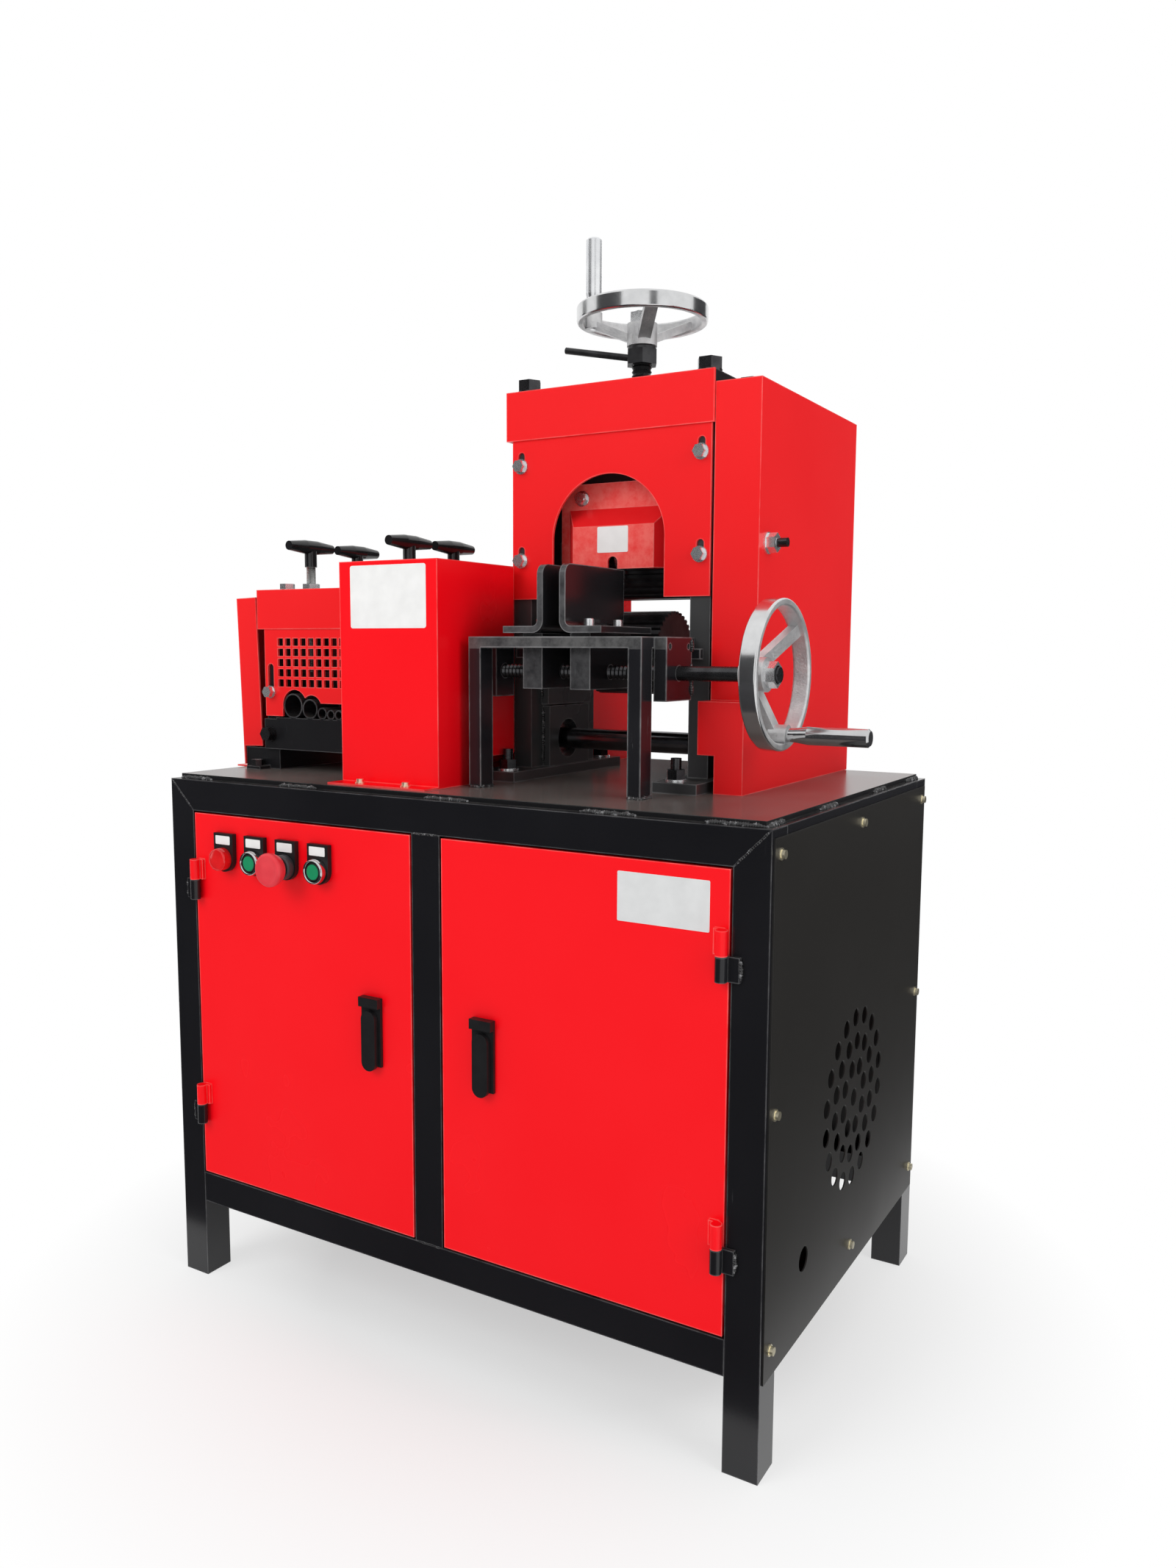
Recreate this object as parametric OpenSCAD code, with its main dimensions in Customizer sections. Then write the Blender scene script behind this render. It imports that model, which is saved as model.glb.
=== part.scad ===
// Wire stripping machine: a heavy cable head and a small wire head on a steel cabinet.
// Lengths are in millimetres. Places are counted from the cabinet frame's front left
// corner on the floor, with X to the right, Y to the back and Z up. place() then moves
// the whole machine so that the middle of its outline stands on the origin.

/* [Cabinet] */
// outside width of the welded frame
frame_w = 800; // [780:5:860]
// outside depth of the welded frame
frame_d = 523; // [515:1:600]
// height of the frame without the table plate
frame_h = 644; // [600:1:700]
// height of the bottom rails above the floor
leg_clear = 100.6; // [80:0.2:120]
// side of the square tube
tube = 38; // [34:0.5:42]
// wall of the square tube
tube_wall = 2.5; // [1.5:0.1:4]
// thickness of the table plate
table_t = 6; // [4:0.5:10]
// step from the frame's edge to the table plate's edge
table_inset = 9; // [4:0.5:14]
// thickness of the side and back panels
panel_t = 1.5; // [1:0.1:3]
// distance of the panels' top edge below the frame's top
panel_drop = 9; // [4:0.5:14]
// gap between the panels and the frame's vertical edges
panel_margin = 5; // [3:0.5:8]
// radius of a panel screw's washer
screw_head_r = 6; // [4.5:0.1:7]
// height of a panel screw's head with its washer
screw_head_h = 5; // [3:0.1:7]
// radius of a panel screw
screw_r = 2.5; // [2:0.1:3]
// distance of a panel screw from the frame's edges
screw_edge = 19; // [16:0.5:22]
// radius of a vent hole
vent_hole_r = 10.2; // [7:0.1:11]
// step between the rings of vent holes
vent_step = 28.5; // [27:0.5:32]
// height of the vents' middle above the panel's lower edge
vent_high = 205; // [180:1:260]
// radius of the mains cable hole
cable_hole_r = 13; // [8:0.1:16]
// distance of the mains cable hole from the frame's front
cable_hole_y = 109; // [80:0.5:140]
// height of the mains cable hole above the panel's lower edge
cable_hole_high = 82; // [60:0.5:88]

/* [Doors] */
// depth of a folded door
door_t = 18; // [14:0.5:20]
// sheet of a folded door
door_sheet = 1.5; // [1:0.1:2.5]
// gap round a door
door_gap = 2.5; // [2:0.1:4]
// radius of a hinge knuckle
knuckle_r = 6; // [5:0.1:7]
// length of one half of a hinge
knuckle_l = 25; // [18:0.5:34]
// radius of a hinge pin
pin_r = 3.5; // [2.5:0.1:4]
// thickness of a hinge leaf
leaf_t = 4; // [3:0.1:5]
// width of a hinge leaf on its leg
leaf_w = 10; // [8:0.5:20]
// height of the upper hinges' middle above the panel's lower edge
hinge_high = 421; // [360:1:440]
// height of the lower hinges' middle above the panel's lower edge
hinge_low = 133; // [100:1:200]
// width of a lock's base
lock_w = 28; // [24:0.5:32]
// height of a lock's base
lock_h = 80; // [70:0.5:100]
// depth of a lock's base
lock_t = 3.5; // [3:0.5:8]
// width of a lock lever
lever_w = 20; // [15:0.5:23]
// length of a lock lever below its spindle
lever_l = 60; // [56:0.5:70]
// depth of a lock lever
lever_t = 5.5; // [4:0.5:8]
// radius of a lock spindle
spindle_r = 6; // [4:0.1:7]
// distance of a lock's middle from the door's free edge
lock_edge = 56; // [40:0.5:80]
// height of the lock spindles above the panel's lower edge
lock_high = 288; // [240:1:320]

/* [Controls] */
// distance of the first control from the door's outer edge
control_x = 54.5; // [45:0.5:70]
// step between the controls
control_step = 51; // [46:0.5:56]
// distance of the controls below the door's top edge
control_drop = 52; // [48:0.5:56]
// width of a legend holder
legend_w = 32; // [30:0.5:36]
// height of a legend holder above the control's centre
legend_h = 31; // [27:0.5:36]
// depth of a legend holder
legend_t = 6; // [3:0.5:7]
// outside radius of a control's collar
collar_r = 14.75; // [13.5:0.05:15]
// depth of a control's collar
collar_t = 10; // [8:0.5:14]
// radius of a push button
button_r = 11; // [9:0.1:11.5]
// length of a push button behind the door
button_back = 14; // [10:0.5:20]
// depth of the pilot lamp's lens
lens_t = 12; // [8:0.5:14]
// radius of the emergency stop's head
estop_r = 20; // [17:0.1:22]
// depth of the emergency stop's head
estop_t = 13; // [10:0.5:18]
// free way between the emergency stop's head and its collar
estop_way = 7; // [6:0.5:10]

/* [Drive] */
// half height of the reducer
reducer_r = 82; // [76:1:90]
// length of the reducer
reducer_l = 90; // [80:1:100]
// radius of the motor's body
motor_r = 66; // [60:1:72]
// length of the motor
motor_l = 230; // [200:1:240]
// radius of the output shaft
out_r = 14; // [10:0.1:16]
// outside radius of the tower chain's wheels
tower_wheel_r = 36; // [30:0.5:40]
// outside radius of the side chain's wheels
side_wheel_r = 26; // [22:0.5:28]
// thickness of a chain wheel
chain_wheel_t = 8; // [6:0.5:9]
// thickness of a chain over its wheel
chain_t = 5; // [4:0.5:7]
// running gap between a chain and its wheel
chain_gap = 0.5; // [0.3:0.1:0.8]
// tooth size of the gear pair
gear_m = 3; // [2.8:0.1:3.2]
// teeth of the gear on the drive shaft
pinion_teeth = 24; // [22:1:26]
// teeth of the gear on the feed roller
gear_teeth = 48; // [46:1:49]
// thickness of a gear
gear_t = 12; // [8:0.5:14]
// play between the gears' teeth
gear_play = 0.3; // [0.2:0.05:0.5]
// radius of the drive shaft
drive_r = 13; // [11:0.1:15]
// height of the drive shaft above the table
drive_high = 45; // [44:0.5:50]
// distance of the drive shaft from the frame's front
drive_y = 278; // [274:0.5:282]
// radius of the shaft coupling
coupling_r = 24; // [20:0.5:26]
// half length of the shaft coupling
coupling_l = 25; // [18:0.5:30]
// width of a bearing ring round its shaft
ring_w = 11; // [8:0.1:11.5]
// width of a switch box
box_w = 200; // [160:5:220]
// height of a switch box
box_h = 250; // [200:5:280]
// depth of a switch box
box_d = 100; // [80:1:110]

/* [Cable head] */
// distance of the head from the frame's left edge
head_x = 376.5; // [375.5:0.5:380]
// width of the head over its side plates
head_w = 262; // [258:0.5:264]
// thickness of a side plate
plate_t = 25; // [22:0.5:28]
// distance of the side plates from the frame's front
head_y = 208; // [206:0.5:210]
// depth of a side plate
head_dp = 150; // [146:0.5:156]
// height of the side plates' top above the table
head_h = 433; // [426:0.5:440]
// width of a foot
foot_w = 54; // [46:0.5:54]
// thickness of a foot
foot_t = 12; // [8:0.5:14]
// reach of a foot in front of its side plate
foot_front = 60; // [54:0.5:62]
// reach of a foot behind its side plate
foot_back = 48; // [40:0.5:60]
// radius of a foot bolt
foot_bolt_r = 6; // [5:0.1:7]
// distance of a foot bolt from the foot's end
foot_bolt_in = 18; // [15:0.5:24]
// thickness of a welded bearing pad
pad_t = 10; // [6:0.5:12]
// reach of a drive pad in front of its shaft
drive_pad_front = 44; // [40:0.5:48]
// reach of a drive pad behind its shaft
drive_pad_back = 50; // [44:0.5:54]
// height of a drive pad above its shaft
drive_pad_high = 42; // [38:0.5:43]
// reach of a feed pad in front of its shaft
feed_pad_front = 54; // [48:0.5:58]
// reach of a feed pad behind its shaft
feed_pad_back = 48; // [44:0.5:54]
// reach of a feed pad below its shaft
feed_pad_low = 64; // [60:0.5:65]
// height of a feed pad above its shaft
feed_pad_high = 40; // [36:0.5:44]
// thickness of the crosshead
cross_t = 27; // [24:0.5:30]
// radius of a crosshead bolt
cross_bolt_r = 7; // [5:0.1:8]
// thickness of the front sheet covers
sheet_t = 3; // [2:0.1:4]
// height of the front plate's lower edge above the table
front_low = 216; // [206:0.5:222]
// distance of the cap strip's lower edge below the side plates' top
cap_drop = 30; // [25:0.5:35]
// height of the cap strip
cap_h = 57; // [50:0.5:58]
// overhang of the cap strip past the left side plate
cap_over = 4; // [2.5:0.1:6]
// half width of the arch
arch_r = 74; // [70:0.5:76]
// distance of the arch's top below the side plates' top
arch_drop = 75.5; // [69:0.5:82]
// radius of the feed roller
feed_r = 50; // [46:0.5:50.5]
// width of the feed roller
feed_w = 100; // [90:0.5:120]
// radius of the feed roller's shaft
feed_shaft_r = 15; // [12:0.1:16]
// set back of the feed roller behind the drive shaft
feed_back = 7; // [0:0.5:10]
// radius of the press roller
press_r = 38; // [34:0.5:38.5]
// radius of the press roller's shaft
press_shaft_r = 10; // [8:0.1:12]
// height of the press roller above the table
press_high = 254; // [250:0.5:258]
// width of a carriage cheek
cheek_t = 22; // [18:0.5:26]
// height of the carriage's lower edge above the table
cheek_low = 228; // [224:0.5:232]
// height of the carriage
cheek_h = 142; // [138:0.5:146]
// distance of the carriage from the frame's front
carriage_y = 240; // [239:0.5:242]
// depth of the carriage
carriage_dp = 96; // [92:0.5:100]
// thickness of the carriage's beam
beam_t = 30; // [24:0.5:34]
// height of the carriage's front web
web_h = 85; // [82:0.5:88]
// thickness of the carriage's front web
web_t = 6; // [4:0.5:7]
// width of a guide key
key_w = 12; // [8:0.5:16]
// depth of a guide key
key_t = 6; // [4:0.5:8]
// thickness of the blade
blade_t = 4; // [2:0.1:6]
// reach of the blade below its seat
blade_l = 53; // [48:0.5:54]
// width of the raised guard's front
bulge_w = 108; // [100:0.5:112]
// depth of the raised guard
bulge_d = 22; // [18:0.5:24]
// width of the raised guard's sheet
bulge_sheet_w = 162; // [154:0.5:166]
// height of the raised guard's lower edge above the carriage's
bulge_low = 22; // [18:0.5:26]
// distance of the raised guard's top below the carriage's
bulge_drop = 18; // [14:0.5:22]
// set back of the lifting screw behind the side plates' front
lift_back = 78; // [74:0.5:84]
// radius of the lifting screw
lift_r = 12; // [11:0.1:14]
// pitch of the lifting screw's thread
lift_pitch = 5; // [4:0.1:6]

/* [Handwheels] */
// outside radius of a handwheel
wheel_r = 78; // [72:0.5:84]
// width of a handwheel's rim
rim_w = 19; // [17:0.5:22]
// thickness of a handwheel's rim
rim_t = 8; // [7:0.5:9]
// radius of a handwheel rim's edges
rim_edge = 2.5; // [1:0.1:3]
// radius of a handwheel's hub
hub_r = 18; // [16:0.5:20]
// height of a hub below the rim's inner side
hub_drop = 26; // [23:0.5:26.5]
// height of a hub above the rim's inner side
hub_rise = 0; // [0:0.5:3]
// width of a spoke
spoke_w = 15; // [12:0.5:18]
// thickness of a spoke
spoke_t = 9; // [7:0.5:10]
// distance of a grip's axis from its rim's outside
grip_in = 15; // [13:0.5:16]
// radius of the boss under a grip
boss_r = 10.5; // [9.5:0.5:11.5]
// radius of a grip
grip_r = 9.5; // [8:0.1:10]
// length of the top wheel's grip
top_grip_l = 86; // [70:0.5:90]
// length of the guide wheel's grip
guide_grip_l = 87; // [70:0.5:90]
// radius of a grip's stud
stud_r = 4; // [3:0.1:4.5]
// height of the top wheel's rim above the crosshead
top_rim_high = 81; // [80:0.5:88]
// height of the lock nut above the crosshead
nut_high = 33.5; // [32:0.5:34.5]
// width of the lock nut across its flats
nut_af = 34; // [32:0.5:38]
// thickness of the lock nut
nut_t = 20; // [17:0.5:21]
// length of the lock nut's lever
nut_lever = 94; // [70:0.5:100]

/* [Cable guide] */
// distance of the guide's stand from the frame's front
stand_y = 82; // [80:0.5:84]
// width of the stand
stand_w = 220; // [216:0.5:224]
// height of the stand's top above the table
stand_h = 170; // [166:0.5:174]
// thickness of the stand's top frame
stand_t = 12; // [9:0.5:14]
// width of the stand's side bars
stand_bar = 18; // [14:0.5:22]
// width of a stand leg
stand_leg_w = 16; // [12:0.5:20]
// depth of a stand leg
stand_leg_d = 24; // [18:0.5:26]
// distance of the guide screw behind the stand's front
guide_back = 58; // [56:0.5:60]
// height of the guide screw below the stand's top
guide_drop = 38.5; // [36:0.5:42]
// radius of the guide screw
guide_r = 8; // [7:0.1:9]
// pitch of the guide screw's thread
guide_pitch = 5; // [4:0.1:6]
// height of the bearing plates
guide_plate_h = 68; // [60:0.5:72]
// depth of the right bearing plate
guide_plate_d = 60; // [50:0.5:64]
// thickness of the right bearing plate
guide_plate_t = 15; // [10:0.5:18]
// distance of the guide wheel's rim from the stand's right side
guide_wheel_at = 116; // [112:0.5:124]
// gap between the two jaws
jaw_gap = 21; // [20:0.5:26]
// thickness of a jaw
jaw_t = 7.5; // [5:0.1:8]
// height of a jaw
jaw_h = 74; // [60:0.5:78]
// width of a jaw's foot
jaw_foot = 52; // [48:0.5:56]
// length of a jaw
jaw_l = 130; // [118:0.5:136]
// length of a jaw's foot
jaw_foot_l = 114; // [108:0.5:118]
// inside radius of a jaw's bend
jaw_bend = 6; // [3:0.5:7]
// radius of a jaw's front corner
jaw_corner = 12; // [8:0.5:20]
// width of a nut block
block_w = 25; // [20:0.5:28]
// distance of a nut block's middle from its jaw's face
block_off = 20; // [19.5:0.5:22]
// length of a nut block
block_l = 90; // [86:0.5:92]
// height of a nut block's lower side below the stand's top
block_drop = 57; // [52:0.5:62]
// height of the jaws above the stand's top
jaw_lift = 4; // [2:0.5:6]
// radius of a jaw bolt's head
jaw_bolt_r = 5.5; // [5:0.1:6]

/* [Wire head] */
// distance of the wire head from the frame's left edge
unit_x = 55; // [54:0.5:56]
// width of the wire head over its plates
unit_w = 187; // [185:0.5:188]
// distance of the wire head from the frame's front
unit_y = 112; // [110:0.5:114]
// depth of the wire head
unit_dp = 240; // [236:0.5:250]
// height of the wire head's plates above the table
unit_h = 218; // [214:0.5:222]
// thickness of the wire head's plates
unit_t = 20; // [16:0.5:22]
// thickness of the wire head's top plate
unit_top_t = 12; // [8:0.5:14]
// distance between the two rows of rollers
row_step = 92; // [90:0.5:94]
// radius of a wire roller
wire_r = 22.5; // [21:0.1:23]
// radius of a wire roller's shaft
wire_shaft_r = 10; // [8:0.1:10.5]
// width of a press bar's end block
press_w = 40; // [34:0.5:44]
// height of a press bar's end block
press_h = 40; // [36:0.5:46]
// height of the press bars above the wire rollers
press_gap = 17; // [16:0.5:19]
// thickness of a wire knife
knife_t = 3; // [2:0.1:4]
// reach of a wire knife below its press bar
knife_l = 10; // [7:0.5:11]
// radius of a tee screw
tee_r = 6; // [5:0.1:7]
// height of the tee grips above the wire head's top
tee_high = 59; // [54:0.5:64]
// length of a tee grip
tee_l = 80; // [66:0.5:84]
// radius of a tee grip in the middle
tee_grip_r = 9; // [8:0.1:10]
// radius of a tee grip at its ends
tee_end_r = 6; // [5:0.1:7]
// length of a tee grip's neck
tee_neck = 26; // [20:0.5:28]
// width of a tee screw's nut across its flats
tee_nut_af = 20; // [17:0.5:24]
// thickness of a tee screw's nut
tee_nut_t = 11; // [8:0.5:13]
// height of the wire head's cap strip
unit_cap_h = 50; // [46:0.5:54]
// overhang of the wire head's cap strip on the left
unit_cap_over = 10; // [8:0.5:12]
// side of a grille hole
grille_hole = 9.4; // [8:0.1:10]
// step between grille holes
grille_step = 13; // [12.5:0.1:13]
// columns of grille holes
grille_cols = 12; // [8:1:12]
// rows of grille holes
grille_rows = 5; // [3:1:5]
// wall of a feed tube
feed_tube_wall = 1.6; // [1:0.1:2]
// length of a feed tube
feed_tube_l = 40; // [32:0.5:41]
// height of the guide bar
bar_h = 39; // [34:0.5:42]
// thickness of the guide bar
bar_t = 6; // [4:0.5:7]
// width of the side cover
side_w = 34; // [32:0.5:35]
// height of the side cover above the table
side_h = 220; // [212:0.5:226]
// lean of the side cover in degrees
side_lean = 2; // [0:0.1:2.5]
// distance of the side cover from the wire head's plate
side_gap = 8; // [6:0.5:10]

/* [Covers] */
// distance of the guard box from the frame's front
guard_y = 44; // [42:0.5:48]
// gap between the guard box and the wire head
guard_gap = 1.5; // [1:0.1:3]
// width of the guard box
guard_w = 141.5; // [138:0.5:142.5]
// height of the guard box above the table
guard_h = 255; // [250:0.5:260]
// length of the guard box's wide part
guard_l = 150; // [146:0.5:154]
// sheet of the folded covers
cover_t = 2; // [1.5:0.1:3]
// width of a cover's flange
flange_w = 26; // [20:0.5:28]
// gap between the tower cover and the head
tower_gap = 3.5; // [3:0.1:5]
// width of the tower cover
tower_w = 54; // [52:0.5:58]
// height of the tower cover above the side plates' top
tower_high = 13; // [8:0.5:17]
// reach of the tower cover's step in front of the head
tower_step = 36; // [30:0.5:40]
// height of the tower cover's step
tower_step_h = 101; // [92:0.5:110]

/* [Clearances] */
// radial running clearance of a shaft
run = 0.05; // [0.02:0.01:0.1]
// clearance of a sliding face
slide = 0.4; // [0.3:0.05:0.5]
// gap between tubes that are welded together
weld = 0.2; // [0.1:0.05:0.5]
// gap between pieces that are bolted together
seat = 0.05; // [0.05:0.01:0.1]

/* [Hidden] */
$fn = 48;
eps = 0.01;
// levels of the table, the frame and the panels
tz = frame_h + table_t;
rail_top = leg_clear + tube;
post_x = frame_w / 2 - tube / 2;
panel_top = frame_h - panel_drop;
// doors, hinges and locks
door_z = rail_top + door_gap;
door_h = frame_h - tube - door_gap - door_z;
door_w = post_x - tube - 2 * door_gap;
left_door_x = tube + door_gap;
right_door_x = post_x + tube + door_gap;
hinge_y = -knuckle_r - 1;
left_hinge_x = left_door_x + knuckle_r - 1;
right_hinge_x = right_door_x + door_w - knuckle_r + 1;
hinge_z = [leg_clear + hinge_low, leg_clear + hinge_high];
left_lock_x = left_door_x + door_w - lock_edge;
right_lock_x = right_door_x + lock_edge;
lock_z = leg_clear + lock_high;
lock_head = lever_w / 2 + 4;
control_z = door_z + door_h - control_drop;
controls = [for (i = [0:3]) left_door_x + control_x + i * control_step];
collar_front = legend_t + collar_t;
estop_out = collar_front + estop_way + estop_t;
// drive line
drive_z = tz + drive_high;
gear_c = gear_m * (pinion_teeth + gear_teeth) / 2;
feed_y = drive_y + feed_back;
feed_z = drive_z + sqrt(gear_c * gear_c - feed_back * feed_back);
mesh_angle = atan2(feed_z - drive_z, feed_back);
out_z = rail_top + reducer_r;
// cable head
head_r = head_x + head_w;
head_mid = head_x + head_w / 2;
in_l = head_x + plate_t;
in_r = head_r - plate_t;
head_top = tz + head_h;
foot_off = (foot_w - plate_t) / 2;
foot_rear = head_y + head_dp + foot_back;
foot_y = [head_y - foot_front + foot_bolt_in, foot_rear - foot_bolt_in];
foot_x = [in_l - 6, in_r + 6];
front_y = head_y - sheet_t;
front_x = [head_x + plate_t / 2, head_r - plate_t / 2];
front_z = [tz + front_low + 46, head_top - cap_drop - 30];
cross_y = [head_y + 15, head_y + head_dp - 20];
carriage_mid = carriage_y + carriage_dp / 2;
cheek_z = tz + cheek_low;
beam_z = cheek_z + cheek_h;
cheek_l = in_l + slide;
cheek_r = in_r - slide;
press_y = feed_y;
press_z = tz + press_high;
press_end = key_t + 2 * slide;
web_z = beam_z - web_h;
screw_y = head_y + lift_back;
top_rim_z = head_top + cross_t + top_rim_high;
nut_z = head_top + cross_t + nut_high;
grip_at = wheel_r - grip_in;
journal_r = lift_r - 3;
neck_r = lift_r - 2;
// gears, chain wheels and covers on the right
gear_x = head_r + foot_off + 1.5;
tower_chain_x = gear_x + gear_t + 10;
tower_x = head_r + tower_gap;
tower_r = tower_x + tower_w;
tower_back = frame_d - 1;
reducer_x = tower_chain_x - 16;
// cable guide
stand_x = head_mid + 2 - stand_w / 2;
stand_r = stand_x + stand_w;
stand_z = tz + stand_h;
stand_low = stand_z - stand_t;
guide_y = stand_y + guide_back;
guide_z = stand_z - guide_drop;
guide_rim_x = stand_r + guide_wheel_at;
block_y = guide_y - block_l / 2;
jaw_y = stand_y + 2;
jaw_z = stand_z + jaw_lift;
jaw_bolts = [block_y + 18, block_y + block_l - 7];
jaw_screw_r = 4;
// wire head
unit_r = unit_x + unit_w;
unit_top = tz + unit_h;
cap_top = unit_top + unit_top_t;
row_y = [drive_y - row_step, drive_y];
press_low = drive_z + wire_r + press_gap;
tee_x = [unit_x + unit_t / 2, unit_r - unit_t / 2];
tube_seat = drive_z + wire_r;
grille_z = tube_seat + 1.5;
grille_y = unit_y - sheet_t;
slot_z = grille_z + 31;
// feed tubes from left to right: place from the left plate, and outside radius
tubes = [[50.6, 15.7], [79.3, 12.5], [99.8, 7.5], [114.2, 6.3], [127.2, 6.3], [141.2, 7.3]];
side_x = unit_x - side_w - side_gap;
side_y = unit_y - 2;
side_end = unit_y + unit_dp + 6;
side_chain_x = side_x + 15;
// guard box
guard_x = unit_r + guard_gap;
guard_r = guard_x + guard_w;
guard_screws = [guard_x + guard_w * 0.27, guard_x + guard_w * 0.74];
side_screw = [side_x - flange_w / 2 + 4, unit_y + 24];
// outline of the whole machine
reach_left = panel_t + screw_head_h;
reach_right = guide_rim_x + rim_w + guide_grip_l;
centre_x = (reach_right - reach_left) / 2;
centre_y = (frame_d + panel_t + screw_head_h - estop_out) / 2;

module place() {
    translate([-centre_x, -centre_y, 0]) children();
}

// a block between two corners
module block(a, b) {
    translate(a) cube(b - a);
}

module rod_x(x0, x1, y, z, r) {
    translate([x0, y, z]) rotate([0, 90, 0]) cylinder(h = x1 - x0, r = r);
}

module rod_y(y0, y1, x, z, r) {
    translate([x, y1, z]) rotate([90, 0, 0]) cylinder(h = y1 - y0, r = r);
}

module rod_z(z0, z1, x, y, r) {
    translate([x, y, z0]) cylinder(h = z1 - z0, r = r);
}

// a hexagonal prism, given across its flats
module hexagon(af, h) {
    cylinder(h = h, r = af / sqrt(3), $fn = 6);
}

// a shape drawn in the YZ plane and pushed along X
module push_x(x0, x1) {
    translate([x0, 0, 0]) rotate([90, 0, 90]) linear_extrude(height = x1 - x0) children();
}

// a shape drawn in the XZ plane and pushed along Y
module push_y(y0, y1) {
    translate([0, y1, 0]) rotate([90, 0, 0]) linear_extrude(height = y1 - y0) children();
}

// an upright slot with round ends, from its lower centre
module slot(r, l) {
    circle(r = r);
    translate([-r, 0]) square([2 * r, l]);
    translate([0, l]) circle(r = r);
}

// a rectangle with round corners
module round_rect(w, h, r) {
    translate([r, 0]) square([w - 2 * r, h]);
    translate([0, r]) square([w, h - 2 * r]);
    for (x = [r, w - r], y = [r, h - r]) translate([x, y]) circle(r = r);
}

// an upright tube whose top is mitred towards its inner side
module leg(x, y, left) {
    inside = tube - 2 * tube_wall;
    translate([x, y, 0]) difference() {
        push_y(0, tube) polygon(left
            ? [[0, 0], [tube, 0], [tube, frame_h - tube], [0, frame_h]]
            : [[0, 0], [tube, 0], [tube, frame_h], [0, frame_h - tube]]);
        translate([tube_wall, tube_wall, -1]) cube([inside, inside, frame_h - tube + 1]);
    }
}

module frame_legs() {
    inside = tube - 2 * tube_wall;
    color("#1a1a1c") place() {
        for (y = [0, frame_d - tube]) {
            leg(0, y, true);
            leg(frame_w - tube, y, false);
        }
        translate([post_x, 0, rail_top]) difference() {
            cube([tube, tube, frame_h - tube - rail_top]);
            translate([tube_wall, tube_wall, -1]) cube([inside, inside, frame_h]);
        }
    }
}

// a level tube from its lower corner, along X or along Y
module rail(corner, l, along_y) {
    inside = tube - 2 * tube_wall;
    translate(corner) difference() {
        cube(along_y ? [tube, l, tube] : [l, tube, tube]);
        translate(along_y ? [tube_wall, -1, tube_wall] : [-1, tube_wall, tube_wall])
            cube(along_y ? [inside, l + 2, inside] : [l + 2, inside, inside]);
    }
}

// a top tube with mitred ends
module mitre_rail(y) {
    inside = tube - 2 * tube_wall;
    low = frame_h - tube;
    difference() {
        push_y(y, y + tube) polygon([[0, frame_h], [tube, low], [frame_w - tube, low], [frame_w, frame_h]]);
        translate([-1, y + tube_wall, low + tube_wall]) cube([frame_w + 2, inside, inside]);
    }
}

// places of the two cross tubes that carry the gear motor
motor_rails = [reducer_x - reducer_l / 2 - tube / 2, reducer_x - reducer_l - motor_l * 0.7];

module frame_rails() {
    span = frame_d - 2 * tube - 2 * weld;
    color("#1a1a1c") place() {
        for (y = [0, frame_d - tube]) {
            mitre_rail(y);
            rail([tube, y, leg_clear], frame_w - 2 * tube, false);
        }
        for (x = [0, frame_w - tube], z = [leg_clear, frame_h - tube]) rail([x, tube + weld, z], span, true);
        for (x = motor_rails) rail([x, tube + weld, leg_clear], span, true);
    }
}

module table_top() {
    slot_half = tower_wheel_r + chain_gap + chain_t + 5;
    color("#2a2422") place() difference() {
        block([table_inset, table_inset, frame_h], [frame_w - table_inset, frame_d - table_inset, tz]);
        block([tower_chain_x - 5, drive_y - slot_half, frame_h - 1],
            [tower_chain_x + chain_wheel_t + 5, drive_y + slot_half, tz + 1]);
    }
}

// places of the panels' screws: along the frame, and height
screw_z = [leg_clear + screw_edge + 11, panel_top - screw_edge + 3];
side_screws = [for (y = [screw_edge, frame_d / 2, frame_d - screw_edge], z = screw_z) [y, z],
    for (y = [screw_edge, frame_d - screw_edge]) [y, leg_clear + (panel_top - leg_clear) / 2]];
back_screws = [for (x = [screw_edge, frame_w / 2, frame_w - screw_edge], z = screw_z) [x, z]];

// holes of each vent ring, and the turn of its first hole
vent_rings = [[1, 0], [8, 14], [14, 6], [18, 10]];

module vents() {
    push_x(-1, panel_t + 1) translate([frame_d / 2, leg_clear + vent_high])
        for (k = [0:3], i = [0:vent_rings[k][0] - 1])
            rotate(vent_rings[k][1] + i * 360 / vent_rings[k][0])
                translate([k == 0 ? 0 : k * vent_step + 7, 0]) circle(r = vent_hole_r);
}

module side_panel(x, cable) {
    translate([x, 0, 0]) difference() {
        block([0, panel_margin, leg_clear], [panel_t, frame_d - panel_margin, panel_top]);
        vents();
        for (s = side_screws) rod_x(-1, panel_t + 1, s[0], s[1], screw_r + run);
        if (cable) rod_x(-1, panel_t + 1, cable_hole_y, leg_clear + cable_hole_high, cable_hole_r);
    }
}

module panels() {
    color("#1c1c1e") place() {
        side_panel(-panel_t, false);
        side_panel(frame_w, true);
        difference() {
            block([panel_margin, frame_d, leg_clear], [frame_w - panel_margin, frame_d + panel_t, panel_top]);
            for (s = back_screws) rod_y(frame_d - 1, frame_d + panel_t + 1, s[0], s[1], screw_r + run);
        }
    }
}

// a small screw with a washer, seated at z = 0
module screw(grip) {
    washer = 1.2;
    cylinder(h = washer, r = screw_head_r);
    translate([0, 0, washer - eps]) cylinder(h = screw_head_h - washer + eps, r = screw_head_r * 0.72);
    translate([0, 0, -grip]) cylinder(h = grip + eps, r = screw_r);
}

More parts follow.
